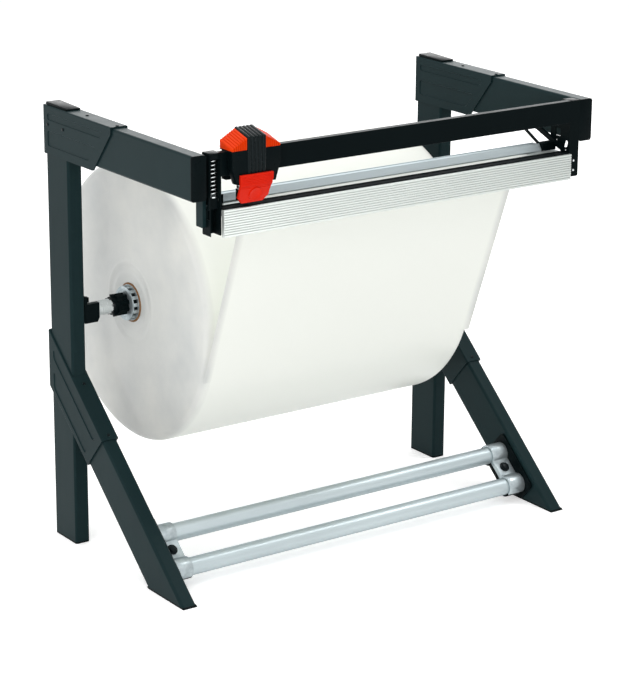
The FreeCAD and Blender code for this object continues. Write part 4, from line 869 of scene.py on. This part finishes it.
@dataclass
class CarriageTrim:
    """Ribbed covers and grip band of the cutter carriage."""

    x0: float = -0.374
    x1: float = -0.275
    front: float = -0.3638
    back: float = -0.3238
    deck: float = 0.842
    eave: float = 0.846
    crest: float = 0.863
    rise: float = 0.011
    grip_width: float = 0.038
    grip_stand: float = 0.002
    grip_foot: float = 0.8004
    rib_pitch: float = 0.0043
    groove_half: float = 0.0011
    groove_depth: float = 0.0026
    cover_round: float = 0.0012
    grip_round: float = 0.0006
    grip_ribs: int = 5
    grip_groove: float = 0.0016
    ridge_steps: Tuple[float, ...] = (0.0, 0.08, 0.22, 0.5, 0.78, 0.92)
    ridge_power: float = 0.6
    ribs: Moulding = Moulding("black_grip_moulding", (0.0040, 0.0072, 0.0080), (0.0030, 0.0056, 0.0062),
                              0.24, shine=0.09, glint=COOL)

    def _cover(self, name: str, outer: float, inner: float) -> Piece:
        """Roof cover from its outer side to the grip.

        Args:
            name: Name of the piece.
            outer: X of the low side.
            inner: X of the high side, beside the grip.

        Returns:
            The ribbed cover.
        """
        x0, x1 = sorted((outer, inner))
        cover = Bench.block(name, (x0, self.front, self.deck), (x1, self.back, self.eave))
        Bench.soften(cover, self.cover_round, 3, 30)
        count = int(round((x1 - x0) / self.rib_pitch))
        grooves = [x0 + (x1 - x0) * index / count for index in range(1, count)]
        for x in grooves:
            for offset in (-self.groove_half, 0.0, self.groove_half):
                Bench.score(cover, (x + offset, 0, 0), (1, 0, 0))
        middle = (self.deck + self.eave) / 2
        slopes = ((0, outer, inner, self.crest - self.eave), (1, self.front, self.back, self.rise))
        for axis, start, end, height in slopes:
            for level in Bench.levels(cover, axis):
                climb = height * (level - start) / (end - start)
                Bench.drag_level(cover, axis, level, lambda at: at.z > middle, (0, 0, climb))
        for x in grooves:
            Bench.drag_level(cover, 0, x, lambda at: at.z > middle, (0, 0, -self.groove_depth))
            Bench.drag_level(cover, 0, x, lambda at: at.y < self.front + self.cover_round,
                             (0, self.groove_depth, 0))
        return Bench.smooth(cover, 24)

    def _grip(self) -> Piece:
        """Rubber-like band with round ridges, over the crest and down the front."""
        middle = (self.x0 + self.x1) / 2
        x0, x1 = middle - self.grip_width / 2, middle + self.grip_width / 2
        outer, top = self.front - self.grip_stand, self.crest + self.rise + OVER
        band = Bench.block("ribbed_grip", (x0, outer, self.grip_foot), (x1, self.back, top + self.grip_stand))
        Bench.trim(band, (0, outer, self.crest + self.grip_stand), (0, -self.rise, self.back - outer))
        Bench.soften(band, self.grip_round, 2, 30)
        ridge = self.grip_width / self.grip_ribs
        for index in range(self.grip_ribs):
            for share in self.ridge_steps:
                Bench.score(band, (x0 + ridge * (index + share), 0, 0), (1, 0, 0))
        for x in Bench.levels(band, 0):
            share = ((x - x0) / ridge) % 1.0
            depth = self.grip_groove * (1 - math.sin(math.pi * share) ** self.ridge_power)
            Bench.drag_level(band, 0, x, lambda at: at.y < outer + self.grip_round + HAIR, (0, depth, 0))
            Bench.drag_level(band, 0, x, lambda at: at.z > self.crest - 2 * OVER, (0, 0, -depth))
        space = Bench.block("space", (x0 - OVER, self.front, self.grip_foot - OVER),
                            (x1 + OVER, self.back + OVER, top))
        Bench.trim(space, (0, self.front, self.crest), (0, -self.rise, self.back - self.front))
        Bench.cut(band, space)
        return Bench.smooth(band, 50)

    def build(self, dresser: Dresser) -> None:
        """Model the covers and the grip and dress them."""
        middle = (self.x0 + self.x1) / 2
        half = self.grip_width / 2
        left = self._cover("left_ribbed_cover", self.x0, middle - half)
        right = self._cover("right_ribbed_cover", self.x1, middle + half)
        dresser.dress(left, Slot.ORANGE_PLASTIC, Body.CARRIAGE, "left_roof_cover")
        dresser.dress(right, Slot.ORANGE_PLASTIC, Body.CARRIAGE, "right_roof_cover")
        dresser.dress(self._grip(), Slot.BLACK_PLASTIC, Body.CARRIAGE, "grip_band", variant=self.ribs)


@dataclass
class GuardUnit:
    """Leaning blade guard, its round release button and the blade's holder."""

    middle_x: float = -0.3265
    half_top: float = 0.0335
    half_foot: float = 0.024
    back_y: float = -0.3642
    thickness: float = 0.005
    top: float = 0.800
    bend: float = 0.781
    foot: float = 0.748
    lean: float = 0.013
    corner: float = 0.011
    edge_round: float = 0.0012
    notch: float = 0.005
    notch_top: float = 0.790
    notch_foot: float = 0.769
    ribs: int = 9
    rib_pitch: float = 0.0026
    rib_start: float = 0.0034
    rib_radius: float = 0.0009
    rib_sides: int = 12
    button_z: float = 0.764
    button_radius: float = 0.013
    button_stand: float = 0.002
    button_depth: float = 0.004
    button_gap: float = 0.0003
    button_dish: float = 0.0009
    button_rim: float = 0.0026
    button_ring: float = 0.004
    button_round: float = 0.0009
    well_depth: float = 0.012
    holder_step: float = -0.3485
    holder_left: float = -0.3442
    holder_right: float = -0.3088
    holder_round: float = 0.0006
    reach: float = 0.01

    def _face_y(self, z: float) -> float:
        """Y of the front face at a height."""
        return self.back_y - self.thickness + max(0.0, self.bend - z) * self.lean / (self.bend - self.foot)

    def _inward(self) -> Vector:
        """Unit run into the leaning face."""
        return Vector((0, self.bend - self.foot, self.lean)).normalized()

    def _button_centre(self) -> Vector:
        """Middle of the button on the leaning face."""
        return Vector((self.middle_x, self._face_y(self.button_z), self.button_z))

    def _cut_notch(self, guard: Piece, x1: float) -> None:
        """Cut the step and its ramp into the guard's right edge.

        Args:
            guard: The guard.
            x1: X of its right edge.
        """
        inner, outer = x1 - self.notch, x1 + self.reach
        front, back = self.back_y - 2 * self.reach, self.back_y + 3 * self.reach
        step = Bench.block("step", (inner, front, self.foot - self.reach), (outer, back, self.notch_foot))
        Bench.cut(guard, step)
        ramp = Bench.block("ramp", (inner, front, self.notch_foot - OVER), (outer, back, self.notch_top))
        Bench.trim(ramp, (inner, 0, self.notch_foot), (self.notch_foot - self.notch_top, 0, self.notch))
        Bench.cut(guard, ramp)

    def _guard(self) -> Piece:
        """Bent slab with slanted corners, a notched edge and fine ribs."""
        x0, x1 = self.middle_x - self.half_top, self.middle_x + self.half_top
        guard = Bench.block("ribbed_guard", (x0, self.back_y - self.thickness, self.foot),
                            (x1, self.back_y, self.top))
        Bench.score(guard, (0, 0, self.bend), (0, 0, 1))
        Bench.shape(guard, lambda face: face.normal.z < -0.9,
                    lambda: bpy.ops.transform.translate(value=(0, self.lean, 0)))
        for side, edge in ((-1, x0), (1, x1 - self.notch)):
            Bench.trim(guard, (edge, 0, self.foot + self.corner),
                       (side * self.corner, 0, self.half_foot - self.half_top))
        self._cut_notch(guard, x1)
        Bench.soften(guard, self.edge_round, 3, 25)
        heights = [self.top - self.rib_start - index * self.rib_pitch for index in range(self.ribs)]
        Bench.cut(guard, *[Bench.rod("groove", (x0 + OVER, self._face_y(z) - HAIR, z),
                                     (x1 - OVER, self._face_y(z) - HAIR, z), self.rib_radius, self.rib_sides)
                           for z in heights])
        centre, inward = self._button_centre(), self._inward()
        Bench.cut(guard, Bench.rod("well", centre - inward * self.reach, centre + inward * self.well_depth,
                                   self.button_radius + self.button_gap))
        return Bench.smooth(guard, 30)

    def _button(self) -> Piece:
        """Round button with a rounded rim and a dished face."""
        centre, inward = self._button_centre(), self._inward()
        button = Bench.rod("dished_button", centre - inward * self.button_stand,
                           centre + inward * self.button_depth, self.button_radius)
        Bench.shape(button, lambda face: face.normal.dot(inward) < -0.9,
                    lambda: bpy.ops.mesh.inset(thickness=self.button_rim),
                    lambda: bpy.ops.transform.translate(value=inward * self.button_dish),
                    lambda: bpy.ops.mesh.inset(thickness=self.button_ring),
                    lambda: bpy.ops.transform.translate(value=inward * self.button_dish / 2))
        Bench.soften(button, self.button_round, 3, 40)
        return Bench.smooth(button)

    def _holder(self) -> Piece:
        """Blade holder that is wide at the pins and narrow round the blade."""
        holder = Bench.refined("blade_holder", "stepped_blade_holder", self.holder_round)
        far = 3 * self.reach
        sides = ((self.holder_left - far, self.holder_left), (self.holder_right, self.holder_right + far))
        for x0, x1 in sides:
            Bench.cut(holder, Bench.block("step", (x0, self.holder_step, self.foot - self.reach),
                                          (x1, self.holder_step + far + self.reach, self.top)))
        return Bench.smooth(holder)

    def build(self, dresser: Dresser) -> None:
        """Model holder, guard and button and dress them."""
        dresser.dress(self._holder(), Slot.BLACK_PLASTIC, Body.CUTTER_HEAD, "blade_holder")
        dresser.dress(self._guard(), Slot.RED_PLASTIC, Body.CUTTER_HEAD, "blade_guard")
        dresser.dress(self._button(), Slot.RED_PLASTIC, Body.BUTTON, "release_button")


@dataclass
class ReturnSpring:
    """Open-coil spring that closes the press rail."""

    x: float = -0.3975
    y: float = -0.3348
    foot: float = 0.7635
    head: float = 0.829
    radius: float = 0.0080
    wire: float = 0.0010
    wire_sides: int = 10
    turns: int = 9
    turn_steps: int = 28
    keep: float = 0.811

    def build(self, dresser: Dresser) -> None:
        """Wind the spring and dress it."""
        Bench.clear()
        bpy.ops.mesh.primitive_circle_add(vertices=self.wire_sides, radius=self.wire, fill_type="NOTHING",
                                          location=(self.radius, 0, 0), rotation=(math.pi / 2, 0, 0))
        spring = Bench.fresh("coil_spring")
        pitch = (self.head - self.foot - 2 * self.wire) / self.turns
        Bench.apply(spring, "SCREW", steps=self.turn_steps, render_steps=self.turn_steps,
                    iterations=self.turns, screw_offset=pitch, angle=2 * math.pi, axis="Z",
                    use_merge_vertices=False, use_smooth_shade=True)
        Bench.shape(spring, lambda face: True,
                    lambda: bpy.ops.mesh.select_all(action="DESELECT"),
                    lambda: bpy.ops.mesh.select_mode(type="EDGE"),
                    lambda: bpy.ops.mesh.select_non_manifold(extend=False),
                    lambda: bpy.ops.mesh.edge_face_add(),
                    lambda: bpy.ops.mesh.select_all(action="SELECT"),
                    lambda: bpy.ops.mesh.normals_make_consistent(inside=False),
                    lambda: bpy.ops.transform.translate(value=(self.x, self.y, self.foot + self.wire)))
        Bench.smooth(spring, 60)
        dresser.dress(spring, Slot.BRIGHT_STEEL, Body.STAND, "rail_spring")
        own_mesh(spring)


@dataclass
class FlutedBar:
    """Cutting bar with a fine slot in each flute, the strip on it and the rivets beside it."""

    x0: float = -0.3856
    x1: float = 0.3926
    face_y: float = -0.3558
    foot: float = 0.6915
    height: float = 0.0485
    flutes: int = 10
    slot_height: float = 0.0008
    slot_depth: float = 0.0030
    edge: float = 0.0006
    rivet_at: Tuple[float, float] = (0.4045, -0.3474)
    rivet_heights: Tuple[float, ...] = (0.7250, 0.7066)
    rivet_radius: float = 0.0021
    rivet_depth: float = 0.0022
    rivet_sides: int = 32
    rivet_round: float = 0.0008
    strip_front: float = -0.3508
    strip_back: float = -0.3391
    strip_foot: float = 0.7395
    strip_top: float = 0.7414
    # lighter copy of the anodised finish: the bar's extra brightness is painted light on its front face
    lit_bar_copy: DrawnAluminium = DrawnAluminium("lit_copy_bar_extrusion", (0.700, 0.735, 0.705),
                                           (0.610, 0.650, 0.625), 0.38)

    def _bar(self) -> Piece:
        """Bar with rounded edges and slotted flutes."""
        bar = Bench.refined("cutting_bar", "slotted_cutting_bar", self.edge)
        heights = [self.foot + self.height * index / (self.flutes + 1) for index in range(1, self.flutes + 1)]
        half = self.slot_height / 2
        Bench.cut(bar, *[Bench.block("slot", (self.x0 - 2 * OVER, self.face_y - OVER, z - half),
                                     (self.x1 + 2 * OVER, self.face_y + self.slot_depth, z + half))
                         for z in heights])
        return Bench.smooth(bar, 32)

    def _rivets(self) -> Piece:
        """Two domed rivets in the right end channel."""
        x, y = self.rivet_at
        rivets = [Bench.rod("rivet", (x, y - OVER, z), (x, y + self.rivet_depth, z), self.rivet_radius,
                            self.rivet_sides) for z in self.rivet_heights]
        for rivet in rivets:
            Bench.soften(rivet, self.rivet_round, 3, 50)
        return Bench.smooth(Bench.join("channel_rivets", rivets), 40)

    def _strip(self) -> Piece:
        """Dark strip with a rounded nose along the top of the bar."""
        strip = Bench.block("bar_top_strip", (self.x0 + OVER, self.strip_front, self.strip_foot),
                            (self.x1 - OVER, self.strip_back, self.strip_top))
        Bench.soften(strip, self.edge, 3, 30)
        return Bench.smooth(strip, 40)

    def build(self, dresser: Dresser) -> None:
        """Model the bar, its strip and its rivets and dress them."""
        dresser.dress(self._bar(), Slot.ANODISED, Body.STAND, "cutting_bar", variant=self.lit_bar_copy)
        dresser.dress(self._strip(), Slot.RUBBER, Body.STAND)
        dresser.dress(self._rivets(), Slot.BRIGHT_STEEL, Body.STAND)


@dataclass(frozen=True)
class Rounding:
    """One node remade with rounded edges."""

    node: str
    name: str
    width: float
    slot: Slot
    body: Body = Body.STAND


@dataclass
class Edges:
    """Caps, clamps, screws and housings whose moulded or cast edges are rounded."""

    work: Tuple[Rounding, ...] = (
        Rounding("arm_caps", "arm_end_caps", 0.0022, Slot.BLACK_PLASTIC),
        Rounding("post_caps", "post_top_caps", 0.0016, Slot.BLACK_PLASTIC),
        Rounding("channel_caps", "channel_top_caps", 0.0012, Slot.BLACK_PLASTIC),
        Rounding("gusset_screws", "gusset_screw_heads", 0.0004, Slot.BLACK_FASTENER),
        Rounding("clamp_bolts", "clamp_bolt_heads", 0.0007, Slot.BLACK_FASTENER),
        Rounding("left_clamp_front", "left_clamp_front_half", 0.0010, Slot.CAST),
        Rounding("right_clamp_front", "right_clamp_front_half", 0.0010, Slot.CAST),
        Rounding("left_clamp_back", "left_clamp_back_half", 0.0010, Slot.BLACK_PLASTIC),
        Rounding("right_clamp_back", "right_clamp_back_half", 0.0010, Slot.BLACK_PLASTIC),
        Rounding("carriage_body", "carriage_housing", 0.0014, Slot.BLACK_PLASTIC, Body.CARRIAGE),
    )

    def build(self, dresser: Dresser) -> None:
        """Round the edges of each node and dress it."""
        for job in self.work:
            dresser.dress(Bench.refined(job.node, job.name, job.width), job.slot, job.body, job.node)


# --- studio ----------------------------------------------------------------
@dataclass(frozen=True)
class Lamp:
    """Square soft box that looks at a target."""

    name: str
    place: Tuple[float, float, float]
    target: Tuple[float, float, float]
    size: float
    power: float

    def hang(self) -> None:
        """Put the lamp in the scene."""
        data = bpy.data.lights.new(self.name, "AREA")
        data.size, data.energy = self.size, self.power
        lamp = bpy.data.objects.new(self.name, data)
        bpy.context.scene.collection.objects.link(lamp)
        lamp.location = self.place
        lamp.visible_camera = False
        lamp.rotation_euler = (Vector(self.target) - Vector(self.place)).to_track_quat("-Z", "Y").to_euler()


@dataclass
class Studio:
    """Camera, floor, lamps and surroundings."""

    camera_at: Tuple[float, float, float] = (-2.6207, -3.7890, 1.7808)
    yaw: float = 0.615
    pitch: float = 0.301
    roll: float = 0.007
    focal_px: float = 2476.276
    frame_height_px: float = 681.0
    sensor_mm: float = 36.0
    view_depth: float = 60
    light_from: Tuple[float, float, float] = (-0.62, 0.55, 0.56)
    dim: float = 0.22
    bright: float = 0.80
    turn: float = 0.7
    floor_size: float = 40
    floor_z: float = -0.0005
    floor_tone: Colour = (0.86, 0.86, 0.86)
    floor_glow: float = 0.43
    lamps: Tuple[Lamp, ...] = (
        Lamp("key", (0.3, -3.3, 2.4), (0, 0, 0.5), 2.2, 12),
        Lamp("high_left", (-2.2, -2.4, 3.2), (0, 0, 0.5), 2.2, 13),
        Lamp("near_left", (-1.7, -0.6, 1.35), (-0.45, 0, 0.6), 1.2, 5.2),
        Lamp("top", (0.2, 0.6, 3.6), (0, 0, 0.6), 2.4, 30),
        Lamp("low", (-0.6, -3.4, 0.5), (0, 0, 0.4), 2.0, 22),
        Lamp("rim", (-3.4, 3.4, 0.8), (-0.3, 0, 0.5), 2.6, 24),
        Lamp("back", (2.6, 3.7, 2.0), (0, 0, 0.7), 3.0, 50),
        Lamp("edge_left", (-3.6, -2.7, 1.0), (0, 0, 0.5), 0.5, 24),
        Lamp("edge_top", (2.0, -1.0, 3.3), (0, 0, 0.7), 0.7, 24),
    )

    def _camera(self) -> None:
        """Place the camera."""
        data = bpy.data.cameras.new("view")
        camera = bpy.data.objects.new("view", data)
        bpy.context.scene.collection.objects.link(camera)
        level = math.cos(self.pitch)
        forward = Vector((math.sin(self.yaw) * level, math.cos(self.yaw) * level, -math.sin(self.pitch)))
        camera.rotation_mode = "QUATERNION"
        camera.location = self.camera_at
        camera.rotation_quaternion = forward.to_track_quat("-Z", "Y") @ Quaternion((0, 0, 1), self.roll)
        data.sensor_width = self.sensor_mm
        data.lens = self.focal_px * self.sensor_mm / self.frame_height_px
        data.clip_end = self.view_depth
        bpy.context.scene.camera = camera

    def _world(self) -> None:
        """White for the camera, softer and darker towards the front right for the light."""
        world = bpy.data.worlds.new("studio")
        bpy.context.scene.world = world
        world.use_nodes = True
        world.node_tree.nodes.clear()
        wiring = Wiring(world.node_tree)
        away = wiring.node("ShaderNodeTexCoord", {}).outputs["Generated"]
        facing = wiring.node("ShaderNodeVectorMath", {0: away, 1: Vector(self.light_from).normalized()},
                             operation="DOT_PRODUCT").outputs["Value"]
        level = wiring.spread(facing, self.dim, self.bright, -self.turn, self.turn)
        lit, white = (wiring.node("ShaderNodeBackground", {"Color": (1, 1, 1, 1), "Strength": strength})
                      for strength in (level, 1.0))
        mix = wiring.node("ShaderNodeMixShader", {0: wiring.seen(), 1: lit.outputs[0], 2: white.outputs[0]})
        wiring.node("ShaderNodeOutputWorld", {"Surface": mix.outputs[0]})

    def _floor(self) -> None:
        """Pale floor that keeps a soft shadow."""
        Bench.clear()
        bpy.ops.mesh.primitive_plane_add(size=self.floor_size, location=(0, 0, self.floor_z))
        floor = bpy.context.object
        floor.name = "floor"
        recipe = Recipe("pale_floor").set(Roughness=0.9, Specular_IOR_Level=0.0,
                                          Base_Color=(*self.floor_tone, 1))
        strength = recipe.maths("MULTIPLY", recipe.seen(), self.floor_glow)
        glow = recipe.node("ShaderNodeEmission", {"Strength": strength})
        both = recipe.node("ShaderNodeAddShader", {0: recipe.shader.outputs[0], 1: glow.outputs[0]})
        recipe.tree.links.new(both.outputs[0], recipe.tree.nodes["Material Output"].inputs["Surface"])
        floor.data.materials.append(recipe.material)

    def build(self) -> None:
        """Set up the whole studio."""
        bpy.context.scene.view_settings.view_transform = "Standard"
        self._camera()
        self._world()
        self._floor()
        for lamp in self.lamps:
            lamp.hang()


def finishes() -> Dict[Slot, Finish]:
    """Every finish of the stand by its slot."""
    return {
        Slot.FRAME_PAINT: PowderCoat("slate_powder_coat", (0.0085, 0.0215, 0.0235), (0.0070, 0.0180, 0.0198),
                                     0.30, 0.38, shine=0.055),
        Slot.BLACK_STEEL: PowderCoat("black_powder_coat", (0.0022, 0.0050, 0.0056), (0.0016, 0.0038, 0.0043),
                                     0.28, 0.36, 0.00004, 0.03),
        Slot.BLACK_PLASTIC: Moulding("black_moulding", (0.0022, 0.0050, 0.0056), (0.0016, 0.0036, 0.0042),
                                     0.30, shine=0.04, glint=COOL),
        Slot.ORANGE_PLASTIC: Moulding("orange_moulding", (0.74, 0.046, 0.002), (0.66, 0.036, 0.002), 0.42,
                                      shine=0.12, glint=(1.0, 0.6, 0.4)),
        Slot.RED_PLASTIC: Moulding("red_moulding", (0.68, 0.018, 0.005), (0.60, 0.013, 0.004), 0.38,
                                   shine=0.12, glint=(1.0, 0.6, 0.5)),
        # anodised tone, painted darker for the shade on the round tubes; the cutting bar takes a lighter,
        # painted-light copy
        Slot.ANODISED: DrawnAluminium("anodised_extrusion", (0.54, 0.61, 0.63), (0.44, 0.505, 0.525), 0.38),
        Slot.CAST: CastAluminium("tumbled_casting", (0.50, 0.56, 0.575), (0.32, 0.37, 0.39), 0.36),
        Slot.BRIGHT_STEEL: BrightSteel("bright_zinc", (0.72, 0.76, 0.77), (0.67, 0.71, 0.72), 0.22),
        Slot.BLACK_FASTENER: Moulding("black_oxide", (0.003, 0.006, 0.007), (0.002, 0.004, 0.005), 0.30,
                                      shine=0.12, glint=COOL),
        Slot.RUBBER: SoftRubber("black_rubber", (0.006, 0.009, 0.010), (0.0025, 0.0045, 0.005)),
        Slot.GLIDE: Moulding("white_acetal", (0.74, 0.74, 0.72), (0.68, 0.68, 0.66), 0.40),
        Slot.FILM: WoundFilm("milky_film", (0.865, 0.885, 0.830), (0.745, 0.750, 0.710), (0.57, 0.59, 0.58),
                             FilmRoll.axis_y, FilmRoll.axis_z, FilmRoll.x0, FilmRoll.x1),
        Slot.CARDBOARD: Cardboard("wound_board", (0.30, 0.16, 0.075), (0.20, 0.105, 0.05)),
    }


def main() -> None:
    """Build every class in order and report each piece."""
    logging.basicConfig(level=logging.INFO, format="%(name)s: %(message)s")
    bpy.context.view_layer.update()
    Studio().build()
    dresser = Dresser({slot: finish.make() for slot, finish in finishes().items()})
    dresser.dress_nodes()
    for maker in (FilmRoll(), FilmSheet(), RollEnd(), CarriageTrim(), GuardUnit(), ReturnSpring(),
                  FlutedBar(), Edges()):
        maker.build(dresser)
        log.info("%s done", type(maker).__name__)


if __name__ == "__main__":
    main()
